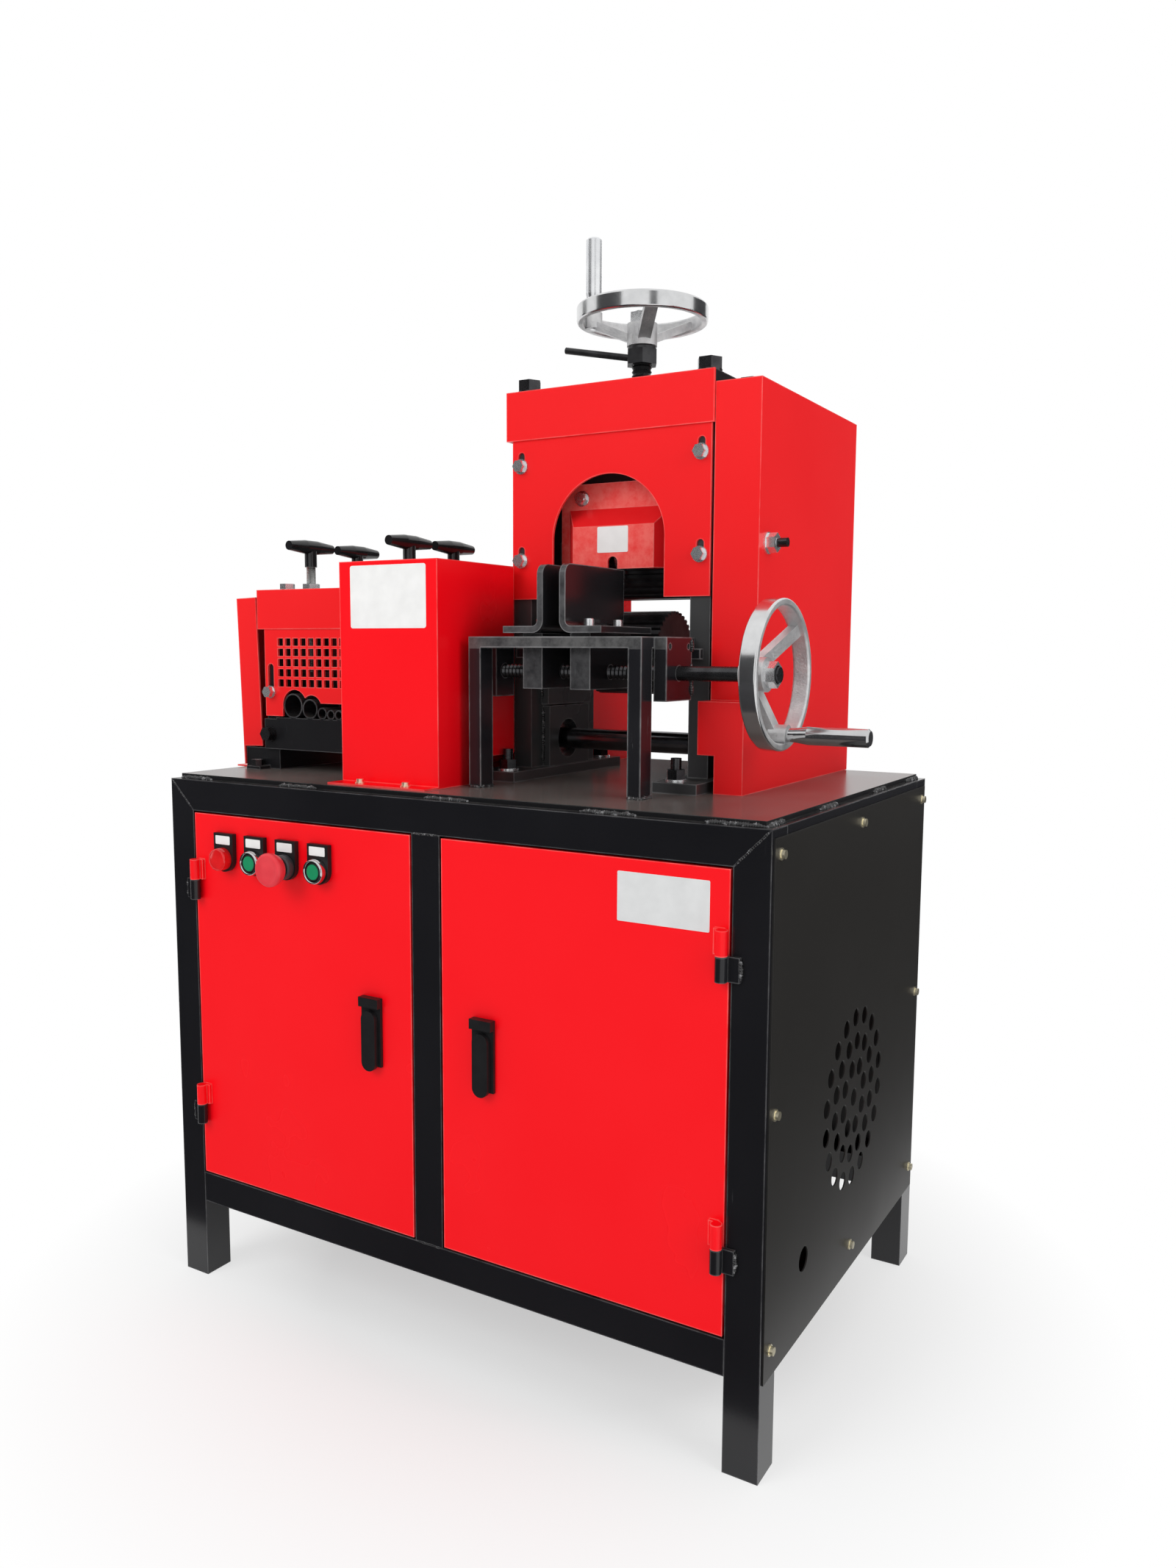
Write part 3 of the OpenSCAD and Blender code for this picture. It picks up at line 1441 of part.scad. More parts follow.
// red sheet with square holes, arched over the feed tubes
module unit_grille() {
    y0 = grille_y - 1;
    y1 = unit_y + 1;
    top = cap_top - unit_cap_h + 20;
    hole_x = unit_x + 23;
    hole_z = slot_z + 7;
    color("#e02228") place() difference() {
        block([unit_x, grille_y, grille_z], [unit_r, unit_y, top]);
        for (i = [0:grille_cols - 1], j = [0:grille_rows - 1])
            translate([hole_x + i * grille_step, y0, hole_z + j * grille_step])
                cube([grille_hole, sheet_t + 2, grille_hole]);
        push_y(y0, y1) translate(grille_bolts[0]) slot(5, 31);
        push_y(y0, y1) translate(grille_bolts[1]) circle(r = 4.5);
        for (t = tubes) rod_y(y0, y1, unit_x + t[0], tube_seat + t[1], t[1] + 4.5);
        block([unit_x + 30, y0, grille_z - 1], [unit_r + 1, y1, grille_z + 10]);
        block([unit_x + tubes[1][0], y0, grille_z - 1], [unit_r + 1, y1, grille_z + 18]);
    }
}

// feed tubes on their bar in front of the wire rollers
module feed_rack() {
    y0 = unit_y - bar_t;
    y1 = y0 + feed_tube_l;
    sink = 0.3;
    color("#141416") place() difference() {
        union() {
            block([unit_x, y0, tube_seat - 2 - bar_h], [unit_r, unit_y, tube_seat - 2]);
            block([unit_x + unit_t + 1, y0, tube_seat - 6], [unit_r - unit_t - 1, y1, tube_seat]);
            for (t = tubes) rod_y(y0, y1, unit_x + t[0], tube_seat + t[1] - sink, t[1]);
        }
        for (t = tubes)
            rod_y(y0 - 1, y1 + 1, unit_x + t[0], tube_seat + t[1] - sink, t[1] - feed_tube_wall);
    }
}

// leaning cover over the side chain, open to the wire head and below
module side_cover() {
    c = cover_t;
    base = 4;
    h = side_h - base;
    color("#e02228") place() difference() {
        union() {
            translate([side_x, 0, tz + base]) rotate([0, -side_lean, 0]) difference() {
                block([0, side_y, 0], [side_w, side_end, h]);
                block([c, side_y + c, -1], [side_w + 1, side_end - c, h - c]);
                block([c, side_y - 1, -1], [side_w + 1, side_end + 1, 24]);
            }
            block([side_x - flange_w + 8, side_y + 4, tz], [side_x + c, side_end - 4, tz + c]);
            block([side_x, side_y + 4, tz], [side_x + c, side_end - 4, tz + base + 0.6]);
        }
        rod_z(tz - 1, tz + c + 1, side_screw[0], side_screw[1], screw_r + run);
    }
}

// folded guard between the two heads, open to the wire head and below
module guard_box() {
    c = cover_t;
    y1 = guard_y + guard_l;
    y2 = frame_d - table_inset - 2;
    top = tz + guard_h;
    rear_r = head_x - 3;
    color("#e02228") place() difference() {
        union() {
            block([guard_x, guard_y, tz], [guard_r, y1, top]);
            block([guard_x, y1 - eps, tz], [rear_r, y2, top]);
            block([guard_x, guard_y - flange_w, tz], [guard_r, guard_y + eps, tz + c]);
        }
        block([guard_x + c, guard_y + c, tz - 1], [guard_r - c, y1 - c, top - c]);
        block([guard_x + c, y1 - c - 1, tz - 1], [rear_r - c, y2 - c, top - c]);
        block([guard_x - 1, unit_y - 10, tz - 1], [guard_x + c + 1, unit_y + unit_dp - 20, top - c]);
        block([head_x - foot_off - 2, head_y - foot_front - 4, tz - 1],
            [guard_r + 1, foot_rear + 4, tz + foot_t + 18]);
        rod_x(rear_r - c - 1, rear_r + 1, drive_y, drive_z, drive_r + 6);
        for (x = guard_screws) rod_z(tz - 1, tz + c + 1, x, guard_y - flange_w / 2, screw_r + run);
    }
}

// tee screw standing on its press bar
module tee(x, y) {
    low = press_low + press_h + run;
    grip_z = cap_top + tee_high;
    color("#161618") place() translate([x, y, 0]) {
        translate([0, 0, low]) cylinder(h = grip_z - tee_neck + 1 - low, r = tee_r);
        translate([0, 0, grip_z - tee_neck]) cylinder(h = tee_neck, r = tee_grip_r - 1);
        translate([0, tee_l / 2, grip_z]) rotate([90, 0, 0]) rotate_extrude() polygon([[0, 0], [tee_end_r, 0],
            [tee_grip_r, tee_l * 0.36], [tee_grip_r, tee_l * 0.64], [tee_end_r, tee_l], [0, tee_l]]);
    }
}

module tee_front_left() {
    tee(tee_x[0], row_y[0]);
}

module tee_front_right() {
    tee(tee_x[1], row_y[0]);
}

module tee_rear_left() {
    tee(tee_x[0], row_y[1]);
}

module tee_rear_right() {
    tee(tee_x[1], row_y[1]);
}

// press bar with end blocks in the plates' windows and a knife behind each feed tube
module press_bar(y) {
    bar_low = press_low + 6;
    tip = press_low - knife_l;
    color("#5a5c60") place() {
        for (x = [unit_x, unit_r - unit_t])
            block([x, y - press_w / 2, press_low], [x + unit_t, y + press_w / 2, press_low + press_h]);
        block([unit_x + unit_t - eps, y - 12, bar_low],
            [unit_r - unit_t + eps, y + 12, press_low + press_h - 6]);
        for (t = tubes) push_x(unit_x + t[0] - knife_t / 2, unit_x + t[0] + knife_t / 2)
            polygon([[y - 12, bar_low + 1], [y - 3, tip], [y + 3, tip], [y + 12, bar_low + 1]]);
    }
}

module front_press() {
    press_bar(row_y[0]);
}

module rear_press() {
    press_bar(row_y[1]);
}

// involute of a tooth flank at radius q over base radius b, in degrees
function involute(q, b) = sqrt(q * q / (b * b) - 1) * 180 / PI - acos(b / q);

// half angle of a tooth at radius q; inside the base circle the flank is radial
function half_tooth(q, n) =
    let (p = gear_m * n / 2, b = p * cos(20))
    90 / n - gear_play / 4 * 180 / PI / p + involute(p, b) - involute(max(q, b), b);

// spur gear outline with a tooth at angle 0
module spur(n) {
    p = gear_m * n / 2;
    radii = [p - 1.25 * gear_m, p - 0.4 * gear_m, p, p + 0.5 * gear_m, p + gear_m];
    polygon([for (i = [0:n - 1], k = [0:9])
        let (q = radii[k < 5 ? k : 9 - k], a = i * 360 / n + (k < 5 ? -1 : 1) * half_tooth(q, n))
        [q * cos(a), q * sin(a)]]);
}

// spur gear on a shaft along X
module gear(n, y, z, turn, bore) {
    push_x(gear_x, gear_x + gear_t) translate([y, z]) difference() {
        rotate(turn) spur(n);
        circle(r = bore + run);
    }
}

// ribbed wire roller with its shaft and chain wheel
module wire_roller(y, shaft_end) {
    push_x(unit_x + unit_t + 2, unit_r - unit_t - 2) translate([y, drive_z]) ribbed(wire_r, 30, 1.5);
    rod_x(side_chain_x - 4, shaft_end, y, drive_z, wire_shaft_r);
    chain_wheel(side_chain_x, y, drive_z, side_wheel_r, 14, wire_shaft_r);
}

// drive shaft with pinion and chain wheel, its coupling and the rear wire roller
module drive_line() {
    joint_x = (unit_r + head_x) / 2;
    color("#6a6c70") place() {
        wire_roller(row_y[1], joint_x - 1);
        rod_x(joint_x + 1, tower_chain_x + chain_wheel_t + 3, drive_y, drive_z, drive_r);
        gear(pinion_teeth, drive_y, drive_z, mesh_angle, drive_r);
        chain_wheel(tower_chain_x, drive_y, drive_z, tower_wheel_r, 16, drive_r);
        difference() {
            rod_x(joint_x - coupling_l, joint_x + coupling_l, drive_y, drive_z, coupling_r);
            rod_x(joint_x - coupling_l - 1, joint_x, drive_y, drive_z, wire_shaft_r + run);
            rod_x(joint_x - 1, joint_x + coupling_l + 1, drive_y, drive_z, drive_r + run);
        }
    }
}

module front_roller() {
    color("#6a6c70") place() wire_roller(row_y[0], unit_r - 1);
}

module feed_roller() {
    color("#55575c") place() {
        push_x(head_mid - feed_w / 2, head_mid + feed_w / 2) translate([feed_y, feed_z]) ribbed(feed_r, 36, 3);
        rod_x(head_x + 6, gear_x + gear_t + 3, feed_y, feed_z, feed_shaft_r);
        gear(gear_teeth, feed_y, feed_z, mesh_angle + 180 + 180 / gear_teeth, feed_shaft_r);
    }
}

frame_legs();
frame_rails();
table_top();
panels();
panel_screws();
hinge_pins();
gear_motor();
output_wheel();
chains();
switch_box();
head_plates();
bearings();
black_bolts();
crosshead();
top_cap();
front_plate();
zinc_bolts();
tower_cover();
guide_stand();
unit_plates();
unit_top_plate();
unit_cap();
unit_grille();
feed_rack();
side_cover();
guard_box();
left_door();
right_door();
left_lock();
right_lock();
left_lever();
right_lever();
legend_holders();
collars();
pilot_lamp();
start_button();
reverse_button();
e_stop();
carriage();
inner_guard();
blade();
press_roller();
lift_screw();
top_wheel();
top_grip();
lock_nut();
guide_screw();
guide_wheel();
guide_grip();
left_jaw();
right_jaw();
tee_front_left();
tee_front_right();
tee_rear_left();
tee_rear_right();
front_press();
rear_press();
drive_line();
front_roller();
feed_roller();
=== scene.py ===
# %% [markdown]
# # A wire stripping machine
# The machine stands on a welded cabinet. Its solids come packed from CAD as a fixed frame, so this lesson
# only dresses them: finishes, soft edges, weld beads and the small turned pieces of the control row.
# Places on the machine are in millimetres from the cabinet's front left corner on the floor.

# %% Load the frame
import math

import bmesh
import bpy
from mathutils import Matrix, Vector


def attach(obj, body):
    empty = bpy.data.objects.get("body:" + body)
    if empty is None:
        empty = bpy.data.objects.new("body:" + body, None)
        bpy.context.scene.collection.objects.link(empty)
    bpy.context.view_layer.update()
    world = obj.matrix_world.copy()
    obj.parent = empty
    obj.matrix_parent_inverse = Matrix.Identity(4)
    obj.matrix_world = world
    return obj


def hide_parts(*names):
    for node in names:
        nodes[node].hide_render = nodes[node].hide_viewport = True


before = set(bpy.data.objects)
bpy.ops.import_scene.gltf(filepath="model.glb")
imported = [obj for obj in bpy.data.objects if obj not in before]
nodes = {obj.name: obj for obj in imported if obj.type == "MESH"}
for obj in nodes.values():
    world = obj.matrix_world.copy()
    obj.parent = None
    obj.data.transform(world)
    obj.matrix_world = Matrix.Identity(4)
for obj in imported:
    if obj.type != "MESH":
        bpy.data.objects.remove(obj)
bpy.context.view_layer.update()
scene = bpy.context.scene
middle_x, middle_y = 417.5, 246.75


def spot(x, y, z):
    """A place on the machine in millimetres, as a point of the scene in metres."""
    return Vector(((x - middle_x) / 1000, (y - middle_y) / 1000, z / 1000))


# %% [markdown]
# ## Camera
# The photograph was taken from the right, a little above the table, with a wide lens. Its place and turn
# were solved from the cabinet's straight edges, so the camera is set from those numbers and not by eye.

# %% Camera
yaw, pitch, roll = -0.5326, -0.1120, 0.0056
eye = spot(1198.48, -1007.46, 805.34)
focal_pixels, photo_height = 1616.16, 2133
ahead = Vector((math.sin(yaw) * math.cos(pitch), math.cos(yaw) * math.cos(pitch), math.sin(pitch)))
level = Vector((math.cos(yaw), -math.sin(yaw), 0))
upright = level.cross(ahead)
side = math.cos(roll) * level + math.sin(roll) * upright
top = math.cos(roll) * upright - math.sin(roll) * level
lens = bpy.data.cameras.new("camera")
lens.sensor_width = 36
lens.lens = 36 * focal_pixels / photo_height
camera = bpy.data.objects.new("camera", lens)
scene.collection.objects.link(camera)
camera.matrix_world = Matrix.Translation(eye) @ Matrix((side, top, -ahead)).transposed().to_4x4()
scene.camera = camera
scene.view_settings.view_transform = "Standard"
print("camera at", [round(v, 3) for v in camera.location], "lens", round(lens.lens, 2))

# %% [markdown]
# ## Shader helpers
# A material is a small graph. The first helpers add one node each: a blend of colours, a stretched value, a
# sum, some noise. The next tell where a point lies and which way it faces. The last start a node group or a
# material and link it up, so that each finish below reads as a short list of what it is made of.


# %% Nodes
def add(tree, kind, inputs=None, **settings):
    """One shader node, with its settings and its inputs given as values or as sockets to link."""
    made = tree.nodes.new("ShaderNode" + kind)
    for key, value in settings.items():
        setattr(made, key, value)
    for key, value in (inputs or {}).items():
        if isinstance(value, bpy.types.NodeSocket):
            tree.links.new(value, made.inputs[key])
        else:
            made.inputs[key].default_value = value
    return made


def blend(tree, factor, low, high):
    """The colour between low and high."""
    return add(tree, "Mix", {0: factor, 6: low, 7: high}, data_type="RGBA").outputs[2]


def between(tree, factor, low, high):
    """The value between low and high."""
    return add(tree, "Mix", {0: factor, 2: low, 3: high}).outputs[0]


def ramp(tree, value, low, high, start=0.0, end=1.0):
    """value, stretched from low..high to start..end and clamped."""
    inputs = {"Value": value, "From Min": low, "From Max": high, "To Min": start, "To Max": end}
    return add(tree, "MapRange", inputs).outputs[0]


def maths(tree, operation, a, b):
    return add(tree, "Math", {0: a, 1: b}, operation=operation).outputs[0]


def times(tree, a, b):
    return maths(tree, "MULTIPLY", a, b)


def vector_maths(tree, operation, *vectors):
    made = add(tree, "VectorMath", dict(enumerate(vectors)), operation=operation)
    return made.outputs["Value" if operation in ("LENGTH", "DOT_PRODUCT") else "Vector"]


def noise(tree, where, scale, detail=2.0, rough=0.5):
    inputs = {"Vector": where, "Scale": scale, "Detail": detail, "Roughness": rough}
    return add(tree, "TexNoise", inputs).outputs["Fac"]


print("node helpers ready")


# %% Places and directions
def place_of(tree):
    """Where a point lies at rest, in metres."""
    return add(tree, "TexCoord").outputs["Object"]


def share(tree, vector, axis):
    """A vector's part along one axis."""
    return add(tree, "SeparateXYZ", {0: vector}).outputs[axis]


def facing(tree, axis, low, high):
    """Mask that goes from none to full as the normal's part along an axis goes from low to high."""
    return ramp(tree, share(tree, add(tree, "TexCoord").outputs["Normal"], axis), low, high)


def above(tree, height, below):
    """One above a height in millimetres, the given share below it."""
    metres = height / 1000
    return ramp(tree, share(tree, place_of(tree), "Z"), metres, metres + 0.0004, below, 1.0)


print("place helpers ready")


# %% Groups and materials
def feed(tree, node, **sockets):
    """Links sockets to a node's inputs, whose names have _ for a blank here."""
    for key, socket in sockets.items():
        tree.links.new(socket, node.inputs[key.replace("_", " ")])


def new_group(name, inputs, outputs):
    """An empty node group with named sockets; gives the group, its inputs and its output node."""
    group = bpy.data.node_groups.new(name, "ShaderNodeTree")
    for direction, sockets in (("INPUT", inputs), ("OUTPUT", outputs)):
        for title, kind in sockets.items():
            group.interface.new_socket(name=title, in_out=direction, socket_type="NodeSocket" + kind)
    return group, group.nodes.new("NodeGroupInput").outputs, group.nodes.new("NodeGroupOutput")


def use(tree, group, **values):
    """A node group placed in a material with its own values."""
    made = tree.nodes.new("ShaderNodeGroup")
    made.node_tree = group
    for key, value in values.items():
        made.inputs[key].default_value = value
    return made.outputs


def new_material(name, **sockets):
    """A material with a Principled shader whose constant sockets are set here."""
    material = bpy.data.materials.new(name)
    material.use_nodes = True
    shader = material.node_tree.nodes["Principled BSDF"]
    for key, value in sockets.items():
        shader.inputs[key.replace("_", " ")].default_value = value
    return material, material.node_tree, shader


def relief(tree, shader, height, strength, distance):
    """Bump from a height, on the shader's normal."""
    bump = add(tree, "Bump", {"Height": height, "Strength": strength, "Distance": distance})
    feed(tree, shader, Normal=bump.outputs["Normal"])


print("group and material helpers ready")

# %% [markdown]
# ## Shared effects
# Sprayed enamel is on most of this machine. Up close it has orange peel, and from a step away it is a little
# uneven in colour and gloss, with dust on what faces up. Scuffs are short bright scratches. Both are node
# groups, built once, because red, black and table paint differ only in their values.

# %% Sprayed paint
paint_film, given, result = new_group(
    "Sprayed paint",
    {
        "Colour": "Color", "Shade": "Color", "Dust": "Color",
        "Peel": "Float", "Gloss": "Float", "Grime": "Float",
    },
    {"Colour": "Color", "Roughness": "Float", "Height": "Float"},
)
tree = paint_film
place = place_of(tree)
peel = noise(tree, place, given["Peel"], detail=2.0, rough=0.4)
patches = noise(tree, place, 6.0, detail=3.0, rough=0.55)
smears = noise(tree, place, 38.0, detail=6.0, rough=0.65)
lying = times(tree, ramp(tree, smears, 0.38, 0.72), facing(tree, "Z", 0.3, 0.9))
settled = times(tree, lying, given["Grime"])
painted = blend(tree, ramp(tree, patches, 0.2, 0.8), given["Shade"], given["Colour"])
uneven = times(tree, ramp(tree, patches, 0.1, 0.9, -0.5, 0.5), 0.08)
rough = maths(tree, "ADD", maths(tree, "ADD", given["Gloss"], uneven), times(tree, settled, 0.5))
feed(tree, result, Colour=blend(tree, settled, painted, given["Dust"]), Roughness=rough, Height=peel)
print("group", paint_film.name, len(tree.nodes), "nodes")

# %% Scuffs
scuffs, given, result = new_group("Scuffs", {"Amount": "Float", "Length": "Float"}, {"Mask": "Float"})
tree = scuffs
place = place_of(tree)
strokes = []
for turn, seed in (((0.3, 0.5, 0.2), 0.0), ((-0.4, 0.9, 1.1), 3.7)):
    spread = add(tree, "CombineXYZ", {"X": 260.0, "Y": 240.0, "Z": given["Length"]}).outputs[0]
    settings = {"Vector": place, "Location": (seed, seed, seed), "Rotation": turn, "Scale": spread}
    lie = add(tree, "Mapping", settings).outputs[0]
    strokes.append(ramp(tree, noise(tree, lie, 1.0, detail=3.0, rough=0.6), 0.70, 0.78))
where = ramp(tree, noise(tree, place, 9.0), 0.5, 0.7)
both = maths(tree, "MAXIMUM", *strokes)
feed(tree, result, Mask=times(tree, times(tree, both, where), given["Amount"]))
print("group", scuffs.name, len(tree.nodes), "nodes")

# %% [markdown]
# Paint thins and rubs away along edges first, and edges catch the light; this mask paints both, worn paint
# and a painted edge highlight. The Bevel node gives the normal that a rounded edge would have; where it leans
# away from the true normal, an edge is near. Noise breaks that line into longer and shorter pieces, as
# handling does.

# %% Edge wear and highlight
edge_wear_and_highlight, given, result = new_group("Edge wear and highlight", {"Reach": "Float", "Amount": "Float"}, {"Mask": "Float"})
tree = edge_wear_and_highlight
rounded = add(tree, "Bevel", {"Radius": given["Reach"]}, samples=6).outputs["Normal"]
true = add(tree, "NewGeometry").outputs["Normal"]
near_edge = ramp(tree, vector_maths(tree, "DOT_PRODUCT", rounded, true), 0.995, 0.90)
patchy = ramp(tree, noise(tree, place_of(tree), 24.0, detail=4.0, rough=0.7), 0.32, 0.62, 0.25, 1.0)
feed(tree, result, Mask=times(tree, times(tree, near_edge, patchy), given["Amount"]))
print("group", edge_wear_and_highlight.name, len(tree.nodes), "nodes")

# %% [markdown]
# Metal pieces share two more effects: the fine grain that turning, plating or casting leaves, and for the
# handwheels a mask that tells the polished rim from the rough cast spokes by distance from the wheel's axis.

# %% Metal grain
metal_grain, given, result = new_group(
    "Metal grain",
    {"Light": "Color", "Dark": "Color", "Scale": "Float", "Smooth": "Float", "Spread": "Float"},
    {"Colour": "Color", "Roughness": "Float", "Height": "Float"},
)
tree = metal_grain
place = place_of(tree)
grain = noise(tree, place, given["Scale"], detail=5.0, rough=0.6)
clouds = noise(tree, place, 55.0, detail=3.0, rough=0.5)
clouded = blend(tree, ramp(tree, clouds, 0.32, 0.68), given["Dark"], given["Light"])
swing = times(tree, ramp(tree, grain, 0.3, 0.7), given["Spread"])
feed(tree, result, Colour=clouded, Roughness=maths(tree, "ADD", given["Smooth"], swing), Height=grain)
print("group", metal_grain.name, len(tree.nodes), "nodes")

# %% Handwheel rim
rim_inside = 69.0
wheel_rim, given, result = new_group(
    "Handwheel rim", {"Centre": "Vector", "Across": "Vector"}, {"Polished": "Float"}
)
tree = wheel_rim
from_axis = vector_maths(tree, "SUBTRACT", place_of(tree), given["Centre"])
outward = vector_maths(tree, "MULTIPLY", from_axis, given["Across"])
away = vector_maths(tree, "NORMALIZE", outward)
lean = vector_maths(tree, "DOT_PRODUCT", add(tree, "TexCoord").outputs["Normal"], away)
on_rim = ramp(tree, vector_maths(tree, "LENGTH", outward), rim_inside / 1000, (rim_inside + 0.6) / 1000)
feed(tree, result, Polished=times(tree, ramp(tree, lean, 0.25, 0.5), on_rim))
print("group", wheel_rim.name, len(tree.nodes), "nodes")

# %% [markdown]
# ## Paints
# The covers and doors are bright red enamel, the frame is thick gloss black, the table plate is a browner
# black that has been handled, and the side panels are satin. One function makes all of them from the groups.
# Faces that cables and hands pass over are rubbed grey at the front, the guard behind the arch has a painted
# pale reflection where it faces out, and the table is brown only on top, where a painted reflection lightens
# it; masks of direction and height place these. The head plates get a lighter black, which is painted light.


# %% Paint
def paint(
    name, colour, shade, gloss, peel, grime=0.0, dust=(0.3, 0.28, 0.26, 1), sides=None,
    front_wear_and_sheen=None, front_tone_above=0.0, front_tone_below=0.0, glint_and_bare_specks=0.0, scuff=0.0, bare=(0.3, 0.3, 0.3, 1),
    edge=0.0, worn_and_lit=(0.3, 0.3, 0.3, 1), reach=2.2, **sockets,
):
    """Enamel from the shared groups; an effect whose amount or colour isn't given is left out."""
    material, tree, shader = new_material(name, **sockets)
    film = use(
        tree, paint_film,
        Colour=(*colour, 1), Shade=(*shade, 1), Dust=dust, Peel=peel, Gloss=gloss, Grime=grime,
    )
    base = film["Colour"]
    if sides:
        base = blend(tree, facing(tree, "Z", 0.9, 0.6), base, sides)
    # Front faces take another colour: rubbed paint on the stand and jaws, a painted reflection on the inner
    # guard.
    if front_wear_and_sheen:
        streaks = ramp(tree, noise(tree, place_of(tree), 70.0, detail=4.0, rough=0.65), 0.30, 0.62, 0.3, 1.0)
        front = times(tree, facing(tree, "Y", -0.75, -0.95), above(tree, front_tone_above, front_tone_below))
        base = blend(tree, times(tree, front, streaks), base, front_wear_and_sheen)
    # Bright specks: painted glints, with a little bare metal.
    if glint_and_bare_specks:
        spots = ramp(tree, noise(tree, place_of(tree), 230.0, detail=3.0, rough=0.6), 0.55, 0.66, 0.0, glint_and_bare_specks)
        base = blend(tree, spots, base, bare)
    if scuff:
        base = blend(tree, use(tree, scuffs, Amount=scuff, Length=18.0)["Mask"], base, bare)
    # Edges: worn paint and a painted highlight, from one mask.
    if edge:
        base = blend(tree, use(tree, edge_wear_and_highlight, Reach=reach / 1000, Amount=edge)["Mask"], base, worn_and_lit)
    feed(tree, shader, Base_Color=base, Roughness=film["Roughness"])
    relief(tree, shader, film["Height"], 0.05, 0.0006)
    return material


def grey(value):
    """A grey with a trace of blue, for scuffed black paint, and on edges for thinned paint with a painted
    highlight.
    """
    return (value, value, value + 0.005, 1)


print("paint function ready")

# %% Red paints
# Pale pink on red edges: paint chips and a painted edge highlight.
chipped_and_lit_red = (0.95, 0.30, 0.28, 1)
red_enamel = paint(
    "red_enamel", (0.90, 0.011, 0.014), (0.87, 0.010, 0.013), 0.24, 420,
    edge=0.55, worn_and_lit=chipped_and_lit_red, Specular_IOR_Level=0.4,
)
door_red = paint(
    "door_red", (0.95, 0.0030, 0.0090), (0.92, 0.0028, 0.0085), 0.26, 420,
    edge=0.55, worn_and_lit=chipped_and_lit_red, Specular_IOR_Level=0.25,
)
# The inner guard's front faces turn pale pink: a painted reflection.
inner_red = paint(
    "inner_red", (0.88, 0.014, 0.018), (0.84, 0.012, 0.015), 0.24, 420,
    front_wear_and_sheen=(0.92, 0.15, 0.13, 1), edge=0.55, worn_and_lit=(0.95, 0.36, 0.33, 1), Specular_IOR_Level=0.4,
)
print("red paints:", red_enamel.name, door_red.name, inner_red.name)

# %% Black paints
stand_bar_z, jaw_plate_z = 806.5, 819.5
black_enamel = paint(
    "black_enamel", (0.009, 0.009, 0.011), (0.006, 0.006, 0.0075), 0.2, 300, grime=0.15,
    scuff=0.35, bare=grey(0.06), edge=0.75, worn_and_lit=grey(0.15), Specular_IOR_Level=0.45,
)
head_enamel = paint(
    "head_enamel", (0.013, 0.013, 0.015), (0.008, 0.008, 0.009), 0.26, 260, grime=0.2,
    scuff=0.6, bare=grey(0.09), edge=0.8, worn_and_lit=grey(0.15), Specular_IOR_Level=0.45,
)
# The head plates are the heads' black painted lighter: painted light on the bearing pads, which lie in shade
# inside the stand.
lit_plate_enamel = paint(
    "lit_plate_enamel", (0.066, 0.067, 0.068), (0.022, 0.022, 0.024), 0.28, 260, grime=0.2,
    scuff=0.6, bare=grey(0.12), edge=0.9, worn_and_lit=grey(0.22), Specular_IOR_Level=0.5,
)
stand_enamel = paint(
    "stand_enamel", (0.020, 0.020, 0.023), (0.005, 0.005, 0.007), 0.22, 260, grime=0.3,
    dust=(0.10, 0.10, 0.10, 1), front_wear_and_sheen=(0.10, 0.10, 0.10, 1), front_tone_above=stand_bar_z,
    scuff=0.9, bare=grey(0.13), edge=1.0, worn_and_lit=grey(0.26), reach=3.0, Specular_IOR_Level=0.5,
)
jaw_enamel = paint(
    "jaw_enamel", (0.015, 0.015, 0.017), (0.008, 0.008, 0.009), 0.24, 260, grime=0.2,
    front_wear_and_sheen=(0.085, 0.085, 0.088, 1), front_tone_above=jaw_plate_z, front_tone_below=0.6,
    scuff=0.6, bare=grey(0.09), edge=1.0, worn_and_lit=grey(0.24), Specular_IOR_Level=0.45,
)
# The weld's bright specks are painted glints with a little bare metal; their colour goes in as bare.
weld_black = paint(
    "weld_black", (0.012, 0.012, 0.013), (0.007, 0.007, 0.008), 0.10, 700,
    glint_and_bare_specks=0.6, bare=(0.36, 0.36, 0.37, 1), Specular_IOR_Level=0.7,
)
print("black paints for frame, heads, plates, stand, jaws and welds")

# %% Table, panel and motor paints
# The table's top is painted much lighter than its handled browner black: a painted reflection of the pale
# room at a grazing angle. The sides keep plain black.
table_enamel = paint(
    "table_enamel", (0.190, 0.165, 0.152), (0.090, 0.076, 0.070), 0.25, 160, sides=(0.009, 0.009, 0.010, 1),
    scuff=0.15, bare=(0.15, 0.14, 0.13, 1), edge=0.4, worn_and_lit=(0.15, 0.145, 0.14, 1), Specular_IOR_Level=0.5,
)
panel_enamel = paint(
    "panel_enamel", (0.0165, 0.0155, 0.0138), (0.0140, 0.0130, 0.0115), 0.38, 500,
    scuff=0.12, bare=(0.04, 0.04, 0.04, 1), edge=0.4, worn_and_lit=(0.06, 0.06, 0.06, 1), Specular_IOR_Level=0.35,
)
motor_enamel = paint("motor_enamel", (0.06, 0.09, 0.12), (0.045, 0.07, 0.095), 0.42, 350, grime=0.4)
box_grey = paint("box_grey", (0.30, 0.31, 0.31), (0.26, 0.27, 0.27), 0.5, 600, grime=0.3)
print("other paints:", table_enamel.name, panel_enamel.name, motor_enamel.name, box_grey.name)

# %% [markdown]
# ## Metals and plastics
# Zinc bolts are bright and cloudy, panel screws are yellow passivated, the lock nut and the large rollers are
# blackened, the drive shaft and the wire roller are oiled, and chains and press bars are plain dark steel.
# The control row has glossy coloured caps, a red lens and black moulded holders. Plastic has a grain too,
# only finer, so one function makes both.


